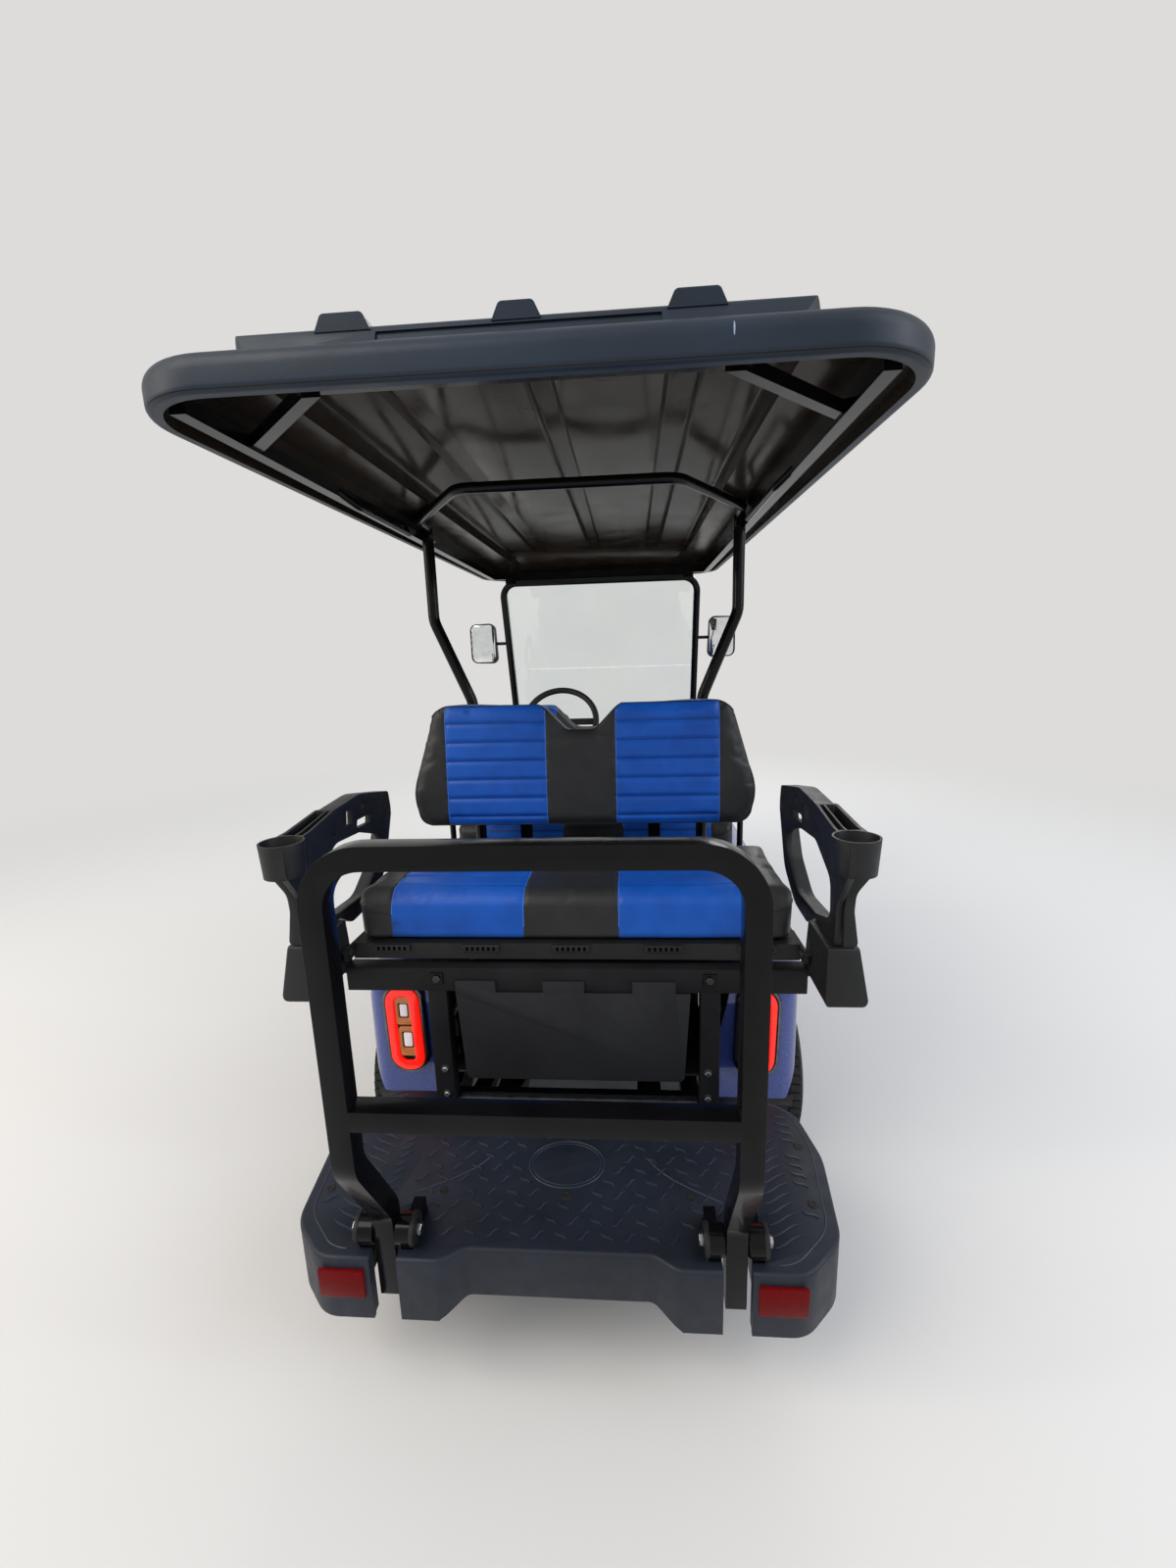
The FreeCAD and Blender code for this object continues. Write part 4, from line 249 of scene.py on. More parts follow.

# %% [markdown]
# The roof is vacuum-formed from capped ABS sheet: its outside keeps a matt haircell grain, and the side that
# lay on the polished mould is a deep gloss. There the brownish colour is a painted reflection of the ground,
# and the shader's own shine is kept weak. The attribute picks the side. A short pale scuff on the rear lip,
# 18 mm tall, is kept because the real roof carries it.

# %% Formed ABS roof sheet
SCUFF_MIDDLE = (0.2890, -1.4900, 1.8375)
SCUFF_REACH = (0.0011, 0.0120, 0.0090)


def roof_sheet():
    made, tree, shader, place = new_finish("abs_roof_sheet")
    away = add(tree, "ShaderNodeVectorMath", {0: place, 1: SCUFF_MIDDLE}, operation="SUBTRACT").outputs[0]
    share = add(tree, "ShaderNodeVectorMath", {0: away, 1: SCUFF_REACH}, operation="DIVIDE").outputs[0]
    reach = add(tree, "ShaderNodeVectorMath", {0: share}, operation="LENGTH").outputs["Value"]
    scuff = add(tree, "ShaderNodeMath", {0: reach, 1: 1.0}, operation="LESS_THAN").outputs[0]
    outer = add(tree, "ShaderNodeMix", {0: scuff, 6: patches(tree, place, 220, 4, "#1C2530", "#232E3B"),
                                        7: srgb("#8D9BAF")}, data_type="RGBA").outputs[2]
    grain = add(tree, "ShaderNodeTexVoronoi", {"Vector": place, "Scale": 1000 / 2.2}, feature="SMOOTH_F1")
    wave = add(tree, "ShaderNodeTexNoise", {"Vector": place, "Scale": 1000 / 150, "Detail": 1}).outputs["Fac"]
    ripple = add(tree, "ShaderNodeMath", {0: wave, 1: 0.6}, operation="MULTIPLY").outputs[0]
    # Painted reflection: the inside's brownish patches stand for the ground mirrored in the gloss.
    surface(tree, shader, by_side(tree, outer, patches(tree, place, 180, 4, "#241F1A", "#312A23")),
            by_side(tree, patches(tree, place, 60, 5, 0.40, 0.50), patches(tree, place, 90, 5, 0.12, 0.24)),
            by_side(tree, grain.outputs["Distance"], ripple), 0.12)
    tree.links.new(by_side(tree, tone(0.22), tone(0.04)), shader.inputs["Specular IOR Level"])
    return made


ROOF_ABS = roof_sheet()

# %% [markdown]
# Marine vinyl is a PVC skin on knit, embossed with a fine leather grain about 1.6 mm across. One material
# per cushion chooses blue or black by where it is, because the panels are cut straight along the seat.

# %% Marine vinyl in two colours
def seat_vinyl(name, panel, axis, first, pitch):
    """Blue between the panel's inner and outer distance from the middle, charcoal black elsewhere.

    A sewn channel lies at first and at every pitch from there along the axis, and painted shade darkens its bottom."""
    made, tree, shader, place = new_finish(name, Specular_IOR_Level=0.3, Sheen_Weight=0.04, Sheen_Roughness=0.4)
    where = add(tree, "ShaderNodeSeparateXYZ", {"Vector": place})
    across = add(tree, "ShaderNodeMath", {0: where.outputs["X"]}, operation="ABSOLUTE").outputs[0]
    on_panel = add(tree, "ShaderNodeMath", {0: across, 1: (panel[0] + panel[1]) / 2, 2: (panel[1] - panel[0]) / 2},
                   operation="COMPARE").outputs[0]
    along = add(tree, "ShaderNodeMath", {0: where.outputs[axis], 1: first}, operation="SUBTRACT").outputs[0]
    apart = add(tree, "ShaderNodeMath", {0: along, 1: pitch / 2}, operation="PINGPONG").outputs[0]
    # Painted shade: near each channel line the blue is mixed towards dark navy.
    shade = add(tree, "ShaderNodeMapRange", {"Value": apart, "From Min": 0.0006, "From Max": 0.0034, "To Min": 0.62,
                                             "To Max": 0.0}, interpolation_type="SMOOTHSTEP").outputs[0]
    blue = add(tree, "ShaderNodeMix", {0: shade, 6: patches(tree, place, 70, 4, "#04459C", "#0A52B0"),
                                       7: srgb("#021C44")}, data_type="RGBA").outputs[2]
    colour = add(tree, "ShaderNodeMix", {0: on_panel, 6: patches(tree, place, 70, 4, "#1C1D1F", "#242527"),
                                         7: blue}, data_type="RGBA").outputs[2]
    leather = add(tree, "ShaderNodeTexVoronoi", {"Vector": place, "Scale": 1000 / 1.6}, feature="SMOOTH_F1")
    pull = add(tree, "ShaderNodeTexNoise", {"Vector": place, "Scale": 1000 / 90, "Detail": 3}).outputs["Fac"]
    height = add(tree, "ShaderNodeMath", {0: pull, 1: 4.0, 2: leather.outputs["Distance"]},
                 operation="MULTIPLY_ADD")
    surface(tree, shader, colour, patches(tree, place, 25, 4, 0.40, 0.50), height.outputs[0], 0.10)
    return made


# Each cushion's channels run across an axis from a first place at a pitch, in metres; its blue panels lie
# between two distances from the middle.
BACK_PANEL, FRONT_BACK_PANEL = (0.103, 0.399), (0.103, 0.396)
SEAT_PANEL, FRONT_SEAT_PANEL = (0.113, 0.432), (0.113, 0.436)
REAR_BACK_CHANNELS = ("Z", 0.971, 0.0548)
REAR_SEAT_CHANNELS = ("Y", -1.043, 0.060)
FRONT_BACK_CHANNELS = ("Z", 0.950, 0.055)
FRONT_SEAT_CHANNELS = ("Y", -0.095, 0.065)
REAR_BACK_VINYL = seat_vinyl("marine_vinyl_rear_back", BACK_PANEL, *REAR_BACK_CHANNELS)
REAR_SEAT_VINYL = seat_vinyl("marine_vinyl_rear_seat", SEAT_PANEL, *REAR_SEAT_CHANNELS)
FRONT_BACK_VINYL = seat_vinyl("marine_vinyl_front_back", FRONT_BACK_PANEL, *FRONT_BACK_CHANNELS)
FRONT_SEAT_VINYL = seat_vinyl("marine_vinyl_front_seat", FRONT_SEAT_PANEL, *FRONT_SEAT_CHANNELS)

# %% [markdown]
# The small finishes: tyre rubber with bloom, zinc-plated screws, smoked chrome bezels, red and amber lenses
# that glow, mirrored glass and a clear acrylic screen.

# %% Rubber, metal and lens finishes
def metal(name, dark, light, rough, grain_mm):
    return cloudy(name, (30, 4, dark, light), (grain_mm, 4, rough - 0.05, rough + 0.06), (grain_mm, 2, 0.02),
                  Metallic=1.0)


def glow(name, colour, strength, lens_rough, cell_mm, lacquer=0.6, shine=0.3):
    """A lit lens: polycarbonate with a moulded cell pattern behind it."""
    made, tree, shader, place = new_finish(name, Coat_Weight=lacquer, Coat_Roughness=0.03, Roughness=lens_rough,
                                           Specular_IOR_Level=shine, Emission_Strength=strength)
    cells = add(tree, "ShaderNodeTexVoronoi", {"Vector": place, "Scale": 1000 / cell_mm,
                                               "Randomness": 0.15}).outputs["Distance"]
    bright = add(tree, "ShaderNodeValToRGB", {"Fac": cells},
                 [(0.0, srgb(colour[1])), (0.6, srgb(colour[0]))]).outputs["Color"]
    surface(tree, shader, bright, None, cells, 0.3)
    tree.links.new(bright, shader.inputs["Emission Color"])
    return made


def clear_sheet(name, dark, light, rough):
    made, tree, shader, place = new_finish(name, Transmission_Weight=1.0, IOR=1.49)
    surface(tree, shader, patches(tree, place, 200, 3, dark, light),
            patches(tree, place, 120, 5, rough, rough + 0.004, ends=(0.3, 0.8)))
    return made


TYRE_RUBBER = cloudy("vulcanised_rubber_tyre", (50, 6, "#17171A", "#2A2A2B", 0.65, (0.3, 0.75)),
                     (12, 3, 0.68, 0.82), (1.5, 3, 0.12), Specular_IOR_Level=0.35)
SOFT_RUBBER = cloudy("moulded_rubber", (20, 4, "#151516", "#1F1F20"), (8, 3, 0.5, 0.62), (1.8, 2, 0.06),
                     Specular_IOR_Level=0.3)
ZINC = metal("zinc_plated_steel", "#8E9194", "#B9BBBD", 0.32, 3)
BARE_STEEL = metal("phosphated_steel", "#3B3B3D", "#55565A", 0.45, 5)
CHROME = metal("smoked_chrome", "#4E5156", "#74777C", 0.10, 30)
MIRROR = metal("mirror_glass", "#D5D8DA", "#E6E8EA", 0.03, 90)
RED_GLOW = glow("lit_red_lens", ("#E00B05", "#FF2A14"), 0.75, 0.2, 7)
AMBER_GLOW = glow("lit_amber_frame", ("#9A5426", "#C07A42"), 0.42, 0.25, 6)
WHITE_GLOW = glow("lit_white_cell", ("#D9CDD2", "#F2E6E6"), 0.32, 0.25, 6)
# Painted glow: the reflectors are no lamps, yet shine faintly by themselves.
RED_REFLECTOR = glow("red_prism_reflector_painted_glow", ("#5A0507", "#8E0D10"), 0.04, 0.15, 4, 0.05, 0.06)
HEAD_LENS = glow("clear_head_lamp_lens", ("#9CA2A8", "#DDE2E6"), 0.08, 0.1, 12, 1.0)
SCREEN = clear_sheet("clear_acrylic_sheet", "#F2F7F7", "#F8FBFB", 0.0)
print("materials", len(bpy.data.materials))

# %% [markdown]
# Many solids already have the right shape and only need soft edges. A merged copy of the node gets a small
# bevel, so that its edges catch a line of light, and then stands in for the node. The small functions here
# also serve the pieces that are drawn further down.

# %% Softened copies of solid nodes
def smooth_by_angle(mesh, degrees):
    """Marks edges sharper than this as sharp and shades the rest smooth."""
    work = bmesh.new()
    work.from_mesh(mesh)
    for edge in work.edges:
        edge.smooth = len(edge.link_faces) == 2 and edge.calc_face_angle(0) < math.radians(degrees)
    for face in work.faces:
        face.smooth = True
    work.to_mesh(mesh)
    work.free()


def merged_copy(node, name):
    """A copy of a node's mesh with its loose triangles joined and its flat areas made whole."""
    mesh = frame["nodes"][node].data.copy()
    mesh.name = name
    work = bmesh.new()
    work.from_mesh(mesh)
    bmesh.ops.remove_doubles(work, verts=work.verts, dist=2e-5)
    bmesh.ops.dissolve_limit(work, angle_limit=math.radians(0.6), verts=work.verts, edges=work.edges)
    work.to_mesh(mesh)
    work.free()
    return shown(name, mesh)


def settle(piece):
    """Turns a piece with modifiers into a plain mesh without them."""
    bpy.context.view_layer.update()
    shaped = piece.evaluated_get(bpy.context.evaluated_depsgraph_get())
    mesh = bpy.data.meshes.new_from_object(shaped)
    piece.modifiers.clear()
    piece.data = mesh
    return piece


def finish_piece(piece, material, body):
    """Gives a finished mesh its material and its body."""
    piece.data.materials.clear()
    piece.data.materials.append(material)
    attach(piece, body)
    return piece


def round_edges(piece, width_mm, segments, from_degrees, smooth_degrees, corners="MITER_SHARP"):
    """Rounds the edges that turn by more than an angle, and smooths the result."""
    edge = piece.modifiers.new("edge", "BEVEL")
    edge.width = width_mm / 1000
    edge.segments = segments
    edge.limit_method = "ANGLE"
    edge.angle_limit = math.radians(from_degrees)
    edge.miter_outer = corners
    settle(piece)
    smooth_by_angle(piece.data, smooth_degrees)


def softened(node, material, width_mm, segments):
    """A node's softened copy in its new material."""
    piece = merged_copy(node, node + "_dressed")
    round_edges(piece, width_mm, segments, 35, 30, "MITER_ARC")
    finish_piece(piece, material, BODY_OF[node])
    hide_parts(node)
    return piece


# %% [markdown]
# This list says which nodes are softened, and by how much. Castings and blow-moulded parts have round edges of
# several millimetres, sheet metal hardly any.

# %% The softened nodes
SOFTENED = [
    # node, material, edge width in mm, segments
    ("grab_bar", STEEL_BLACK, 4.0, 3),
    ("armrests", BLACK_PLASTIC, 3.0, 2),
    ("armrest_bases", BLACK_PLASTIC, 3.0, 2),
    ("footplate_frame", STEEL_BLACK, 1.5, 1),
    ("rear_seat_frame", STEEL_SATIN, 3.0, 2),
    ("storage_bin", BIN_PLASTIC, 1.5, 2),
    ("footplate", TRAY_PLASTIC, 3.0, 2),
    ("chassis_frame", STEEL_BLACK, 3.0, 2),
    ("windshield_frame", STEEL_BLACK, 4.0, 2),
    ("front_bumper", BLACK_PLASTIC, 6.0, 3),
    ("side_sills", BLACK_PLASTIC, 4.0, 2),
    ("mirrors", BLACK_PLASTIC, 5.0, 3),
    ("dashboard", BLACK_PLASTIC, 4.0, 2),
    ("battery_pack", CASE_PLASTIC, 6.0, 2),
    ("pedals", STEEL_BLACK, 2.0, 2),
    ("floor_pan", BLACK_PLASTIC, 1.5, 1),
    ("bay_liner", BLACK_PLASTIC, 1.5, 1),
    ("rear_body", BLUE_PAINT, 1.2, 1),
    ("front_cowl", BLUE_PAINT, 1.2, 1),
    ("roof", ROOF_ABS, 1.5, 1),
    ("taillights", DARK_TRIM, 1.5, 2),
    ("headlamps", HEAD_LENS, 3.0, 3),
    ("reflectors", RED_REFLECTOR, 1.5, 2),
]
DRESSED = {node: softened(node, material, width_mm, segments) for node, material, width_mm, segments in SOFTENED}

# %% [markdown]
# A moulded shell is coloured on its outside only, so its inner faces are marked. A face lies inside when a ray
# straight up from just in front of it meets the underside of the same shell.

# %% Inner faces of the shells
def mark_inside(piece, spare=0.0):
    """Writes the attribute "inside"; faces lower than spare above the shell's bottom edge stay outside."""
    mesh = piece.data
    tree = BVHTree.FromPolygons([v.co for v in mesh.vertices], [face.vertices for face in mesh.polygons])
    lowest = min(v.co.z for v in mesh.vertices) + spare
    inside = mesh.attributes.new("inside", "FLOAT", "FACE")
    marked = 0
    for face in mesh.polygons:
        hit, normal, index, reach = tree.ray_cast(face.center + face.normal * 0.0015, Vector((0, 0, 1)))
        covered = hit is not None and mesh.polygons[index].normal.z < -0.3 and face.center.z > lowest
        inside.data[face.index].value = float(covered)
        marked += covered
    print(piece.name, "inner faces", marked, "of", len(mesh.polygons))


mark_inside(DRESSED["rear_body"])
mark_inside(DRESSED["front_cowl"])
mark_inside(DRESSED["roof"], 0.004)

# %% [markdown]
# The rest of the solids are round bars, plates and shells whose meshes are right as they are, so they stay
# and only take a better material.

# %% Materials on nodes that stay
KEPT = {
    "roof_frame": STEEL_BLACK, "seat_back_frame": STEEL_BLACK, "rear_seat_deck": BLACK_PLASTIC,
    "rear_axle": BARE_STEEL, "rear_suspension": BARE_STEEL, "front_suspension": STEEL_BLACK,
    "steering_column": STEEL_BLACK, "steering_rack": BARE_STEEL, "steering_wheel": SOFT_RUBBER,
    "windshield": SCREEN, "knuckle_left": BARE_STEEL, "knuckle_right": BARE_STEEL,
}
for end in ("front", "rear"):
    for side in ("left", "right"):
        KEPT["rim_" + end + "_" + side] = ALLOY_BLACK
for node, material in KEPT.items():
    mesh = frame["nodes"][node].data
    mesh.materials.clear()
    mesh.materials.append(material)
print("softened", len(SOFTENED), "kept", len(KEPT))

# %% [markdown]
# A bench cushion is foam under a sewn cover. The recipe: remesh the solid's shape, blow it up a little with
# Blender's cloth pressure so that its faces crown and its sides pull in, then press the sewn channels in.

# %% Foam that swells
FOAM_INSET = 0.004
FOAM_PRESSURE = 2.4
FOAM_CAP = 0.009
FOAM_STEPS = 20


def shrunk_copy(node, name, inset):
    """The node's merged shape, drawn in towards its middle to leave room for the swelling."""
    piece = merged_copy(node, name)
    vertices = piece.data.vertices
    middle = sum((v.co for v in vertices), Vector()) / len(vertices)
    low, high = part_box(node)
    size = high - low
    for v in vertices:
        for axis in range(3):
            v.co[axis] = middle[axis] + (v.co[axis] - middle[axis]) * (1 - 2 * inset / size[axis])
    return piece


def inflate(piece, voxel):
    """Remeshes a form and swells it with cloth pressure, no point moving more than the cap."""
    remesh = piece.modifiers.new("remesh", "REMESH")
    remesh.mode = "VOXEL"
    remesh.voxel_size = voxel
    remesh.use_smooth_shade = True
    settle(piece)
    before = [v.co.copy() for v in piece.data.vertices]
    cloth = piece.modifiers.new("foam", "CLOTH")
    cloth.settings.use_pressure = True
    cloth.settings.uniform_pressure_force = FOAM_PRESSURE
    cloth.settings.tension_stiffness = 15
    cloth.settings.compression_stiffness = 15
    cloth.settings.bending_stiffness = 0.6
    cloth.settings.effector_weights.gravity = 0
    cloth.point_cache.frame_start = 1
    cloth.point_cache.frame_end = FOAM_STEPS
    for step in range(1, FOAM_STEPS + 1):
        SCENE.frame_set(step)
    settle(piece)
    SCENE.frame_set(1)
    for v, start in zip(piece.data.vertices, before):
        move = v.co - start
        if move.length > FOAM_CAP:
            v.co = start + move.normalized() * FOAM_CAP
    finer = piece.modifiers.new("finer", "SUBSURF")
    finer.levels = finer.render_levels = 1
    settle(piece)
    for face in piece.data.polygons:
        face.use_smooth = True


# %% [markdown]
# The sewing pulls a line of the cover down into the foam. Its depth dies away over some 6 mm on either side,
# like a bell curve, and channels only run where the blue panel is.

# %% Sewn cushions
CHANNEL_WIDTH = 0.0058
SEAM_WIDTH = 0.0055
SEAM_SHARE = 0.55
PANEL_FADE = 0.004


def groove(distance, width):
    """How deep a sewn line pulls at this distance from it, from 0 to 1."""
    return math.exp(-(distance / width) ** 2)


def sew(piece, channels, facing, panel, depth):
    """Presses six channels across the blue panels, and a seam along each panel's edge.

    channels are an axis, the first channel and their pitch, facing tells how much a point takes part by its
    normal, and panel is the inner and outer edge of the blue panels."""
    axis, first, pitch = "XYZ".index(channels[0]), channels[1], channels[2]
    mesh = piece.data
    normals = [v.normal.copy() for v in mesh.vertices]
    for v, normal in zip(mesh.vertices, normals):
        share = facing(normal)
        if share <= 0:
            continue
        side = abs(v.co.x)
        inside = 1 / (1 + math.exp((panel[0] - side) / PANEL_FADE)) / (1 + math.exp((side - panel[1]) / PANEL_FADE))
        pull = 0.0
        for i in range(6):
            pull += depth * groove(v.co[axis] - (first + pitch * i), CHANNEL_WIDTH) * inside
        for seam in panel:
            pull += SEAM_SHARE * depth * groove(side - seam, SEAM_WIDTH)
        v.co -= normal * pull * share


def cushion(node, name, material, voxel, channels, facing, panel, depth, settled=0.0):
    """One finished cushion in place of its solid, its foam settled by this much on top."""
    piece = shrunk_copy(node, name, FOAM_INSET)
    low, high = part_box(node)
    for v in piece.data.vertices:
        v.co.z -= settled * (v.co.z - low.z) / (high.z - low.z)
    inflate(piece, voxel)
    sew(piece, channels, facing, panel, depth)
    finish_piece(piece, material, BODY_OF[node])
    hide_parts(node)
    print(name, len(piece.data.polygons), "faces")
    return piece


def on_top(normal):
    """A seat's channels show on its top and fade round its edges."""
    return max(0.0, min(1.0, normal.z * 1.6))


def on_face(direction):
    """A backrest's channels show on its face, which looks this way along Y."""
    return lambda normal: max(0.0, min(1.0, normal.y * direction * 1.5))


REAR_BACK = cushion("rear_backrest", "rear_backrest_pad", REAR_BACK_VINYL, 0.008, REAR_BACK_CHANNELS,
                    on_face(-1), BACK_PANEL, 0.0050)
REAR_SEAT = cushion("rear_seat_cushion", "rear_seat_pad", REAR_SEAT_VINYL, 0.008, REAR_SEAT_CHANNELS,
                    on_top, SEAT_PANEL, 0.0050, 0.010)
FRONT_BACK = cushion("front_backrest", "front_backrest_pad", FRONT_BACK_VINYL, 0.012, FRONT_BACK_CHANNELS,
                     on_face(1), FRONT_BACK_PANEL, 0.0038)
FRONT_SEAT = cushion("front_seat_cushion", "front_seat_pad", FRONT_SEAT_VINYL, 0.012, FRONT_SEAT_CHANNELS,
                     on_top, FRONT_SEAT_PANEL, 0.0038)

# %% [markdown]
# A welt is a thin cord sewn into a seam. Each one is a curve whose points are dropped on to the cushion
# along a ray, so it follows the crowned surface, and is then turned into a slim tube.

# %% Welt cords along the seams
def tube_along(name, points, radius, material, body, closed=False, sides=4):
    """A slim tube through points, turned into a plain mesh."""
    curve = bpy.data.curves.new(name, "CURVE")
    curve.dimensions = "3D"
    spline = curve.splines.new("POLY")
    spline.points.add(len(points) - 1)
    for knot, place in zip(spline.points, points):
        knot.co = (*place, 1)
    spline.use_cyclic_u = closed
    curve.bevel_depth = radius
    curve.bevel_resolution = sides
    curve.use_fill_caps = True
    draft = shown(name + "_draft", curve)
    bpy.context.view_layer.update()
    mesh = bpy.data.meshes.new_from_object(draft.evaluated_get(bpy.context.evaluated_depsgraph_get()))
    bpy.data.objects.remove(draft)
    for face in mesh.polygons:
        face.use_smooth = True
    return finish_piece(shown(name, mesh), material, body)


def dropped(target, starts, direction, lift):
    """Where rays from the starts first meet the target, lifted back along the ray."""
    bpy.context.view_layer.update()
    found = []
    for start in starts:
        hit, place, normal, face = target.ray_cast(Vector(start), Vector(direction))
        if hit:
            found.append(place - Vector(direction) * lift)
    return found


def spread(low, high, count):
    """Evenly spaced numbers from low to high, both counted."""
    return [low + (high - low) * i / (count - 1) for i in range(count)]


def panel_welts(target, name, body, panel, first, last, direction):
    """Light cords along the blue panels' edges; the rays start on a line between two (y, z) points."""
    for i, x in enumerate((-panel[1], -panel[0], panel[0], panel[1])):
        starts = [(x, y, z) for y, z in zip(spread(first[0], last[0], 60), spread(first[1], last[1], 60))]
        tube_along(f"{name}_welt_{i}", dropped(target, starts, direction, 0.0004), 0.0013, THREAD_BLUE, body)


panel_welts(REAR_BACK, "rear_backrest", "chassis", BACK_PANEL, (-0.93, 0.94), (-0.93, 1.303), (0, 1, 0))
panel_welts(FRONT_BACK, "front_backrest", "chassis", FRONT_BACK_PANEL, (0.12, 0.92), (0.12, 1.27), (0, -1, 0))
panel_welts(REAR_SEAT, "rear_seat", "rear_seat", SEAT_PANEL, (-1.045, 1.2), (-0.66, 1.2), (0, 0, -1))
panel_welts(FRONT_SEAT, "front_seat", "front_seat", FRONT_SEAT_PANEL, (-0.15, 1.2), (0.27, 1.2), (0, 0, -1))

# %% [markdown]
# What repeats is made with Geometry Nodes: one small form is set on every point of a guide mesh, turned
# with the point's own rotation, made real and given its material. The result is turned into a plain mesh.

# %% Repeating with Geometry Nodes
def repeat_tree(form, material):
    """A tree that sets a form on each guide point, with its size as a named input."""
    tree = bpy.data.node_groups.new("repeat_" + form.name, "GeometryNodeTree")
    tree.interface.new_socket("Guide", in_out="INPUT", socket_type="NodeSocketGeometry")
    size = tree.interface.new_socket("Size", in_out="INPUT", socket_type="NodeSocketFloat")
    size.default_value = 1.0
    tree.interface.new_socket("Result", in_out="OUTPUT", socket_type="NodeSocketGeometry")
    entry = add(tree, "NodeGroupInput")
    shape = add(tree, "GeometryNodeObjectInfo", {"Object": form})
    turn = add(tree, "GeometryNodeInputNamedAttribute", {"Name": "turn"}, data_type="FLOAT_VECTOR")
    angle = add(tree, "FunctionNodeEulerToRotation", {0: turn.outputs["Attribute"]})
    copies = add(tree, "GeometryNodeInstanceOnPoints", {"Points": entry.outputs["Guide"],
                                                        "Instance": shape.outputs["Geometry"],
                                                        "Rotation": angle.outputs[0],
                                                        "Scale": entry.outputs["Size"]})
    real = add(tree, "GeometryNodeRealizeInstances", {0: copies.outputs[0]})
    dressed = add(tree, "GeometryNodeSetMaterial", {"Geometry": real.outputs[0], "Material": material})
    add(tree, "NodeGroupOutput", {0: dressed.outputs[0]})
    return tree, size.identifier


def repeated(name, form, places, material, body, size=1.0):
    """One mesh with the form at each (position, Euler turn) place."""
    guide_mesh = bpy.data.meshes.new(name)
    guide_mesh.from_pydata([place for place, turn in places], [], [])
    attribute = guide_mesh.attributes.new("turn", "FLOAT_VECTOR", "POINT")
    for i, (place, turn) in enumerate(places):
        attribute.data[i].vector = turn
    piece = shown(name, guide_mesh)
    tree, size_id = repeat_tree(form, material)
    modifier = piece.modifiers.new("repeat", "NODES")
    modifier.node_group = tree
    modifier[size_id] = size
    settle(piece)
    form.hide_render = True
    return finish_piece(piece, material, body)


# %% [markdown]
# The forms that repeat are drawn here. A form is an object that isn't put into the scene, so only its copies
# are seen.

# %% Small forms
def drawn(name, work, smooth_degrees):
    """A mesh from what was drawn, smooth except where its faces meet at more than this angle."""
    bmesh.ops.recalc_face_normals(work, faces=work.faces)
    mesh = bpy.data.meshes.new(name)
    work.to_mesh(mesh)
    work.free()
    smooth_by_angle(mesh, smooth_degrees)
    return mesh


def lathe_form(name, profile, sides):
    """A form turned about Z from (radius, height) points."""
    work = bmesh.new()
    rings = []
    for radius, height in profile:
        rings.append([work.verts.new((radius * math.cos(2 * math.pi * i / sides),
                                      radius * math.sin(2 * math.pi * i / sides), height)) for i in range(sides)])
    for low, high in zip(rings, rings[1:]):
        for i in range(sides):
            j = (i + 1) % sides
            work.faces.new((low[i], low[j], high[j], high[i]))
    work.faces.new(list(reversed(rings[0])))
    work.faces.new(rings[-1])
    return bpy.data.objects.new(name, drawn(name, work, 40))


def box_form(name, sizes, taper=0.85):
    """A small block on Z 0, its top drawn in by the taper."""
    x, y, z = (s / 2 for s in sizes)
    low = [(-x, -y, 0), (x, -y, 0), (x, y, 0), (-x, y, 0)]
    high = [(a * taper, b * taper, 2 * z) for a, b, c in low]
    mesh = bpy.data.meshes.new(name)
    sides = [(i, (i + 1) % 4, (i + 1) % 4 + 4, i + 4) for i in range(4)]
    mesh.from_pydata(low + high, [], [(3, 2, 1, 0), (4, 5, 6, 7)] + sides)
    return bpy.data.objects.new(name, mesh)


BOLT_HEAD = lathe_form("hex_head", [(0.0105, 0), (0.0105, 0.0055), (0.0092, 0.0068)], 6)
WASHER = lathe_form("washer", [(0.0135, 0), (0.0135, 0.0016), (0.0128, 0.0021)], 24)
FACING_X = (0, math.radians(90), 0)
FACING_MINUS_X = (0, math.radians(-90), 0)
FACING_REAR = (math.radians(90), 0, 0)
UP = (0, 0, 0)

# %% [markdown]
# The tyre: a low-profile carcass turned from its section, with rings moulded into the sidewall, and a tread
# of shallow blocks set round it by Geometry Nodes.

# %% Tyres with tread
TYRE_SIDES = 96
BLOCKS_ROUND = 62
TREAD_DEPTH = 0.0062
TREAD_BLOCK = box_form("tread_block", (0.030, 0.017, 0.006), 0.86)
SHOULDER_BLOCK = box_form("shoulder_block", (0.034, 0.019, 0.006), 0.88)


def round_x(middle, offset, radius, angle):
    """The point at this radius and angle round a wheel's axis, offset along it from the middle."""
    return (middle.x + offset, middle.y + radius * math.sin(angle), middle.z + radius * math.cos(angle))


def carcass(name, middle, section):
    """A tyre turned about X through its section's (offset, radius) points."""
    work = bmesh.new()
    rings = [[work.verts.new(round_x(middle, offset, radius, 2 * math.pi * i / TYRE_SIDES))
              for offset, radius in section] for i in range(TYRE_SIDES)]
    for one, two in zip(rings, rings[1:] + rings[:1]):
        for k in range(len(section)):
            m = (k + 1) % len(section)
            work.faces.new((one[k], one[m], two[m], two[k]))
    return shown(name, drawn(name, work, 32))


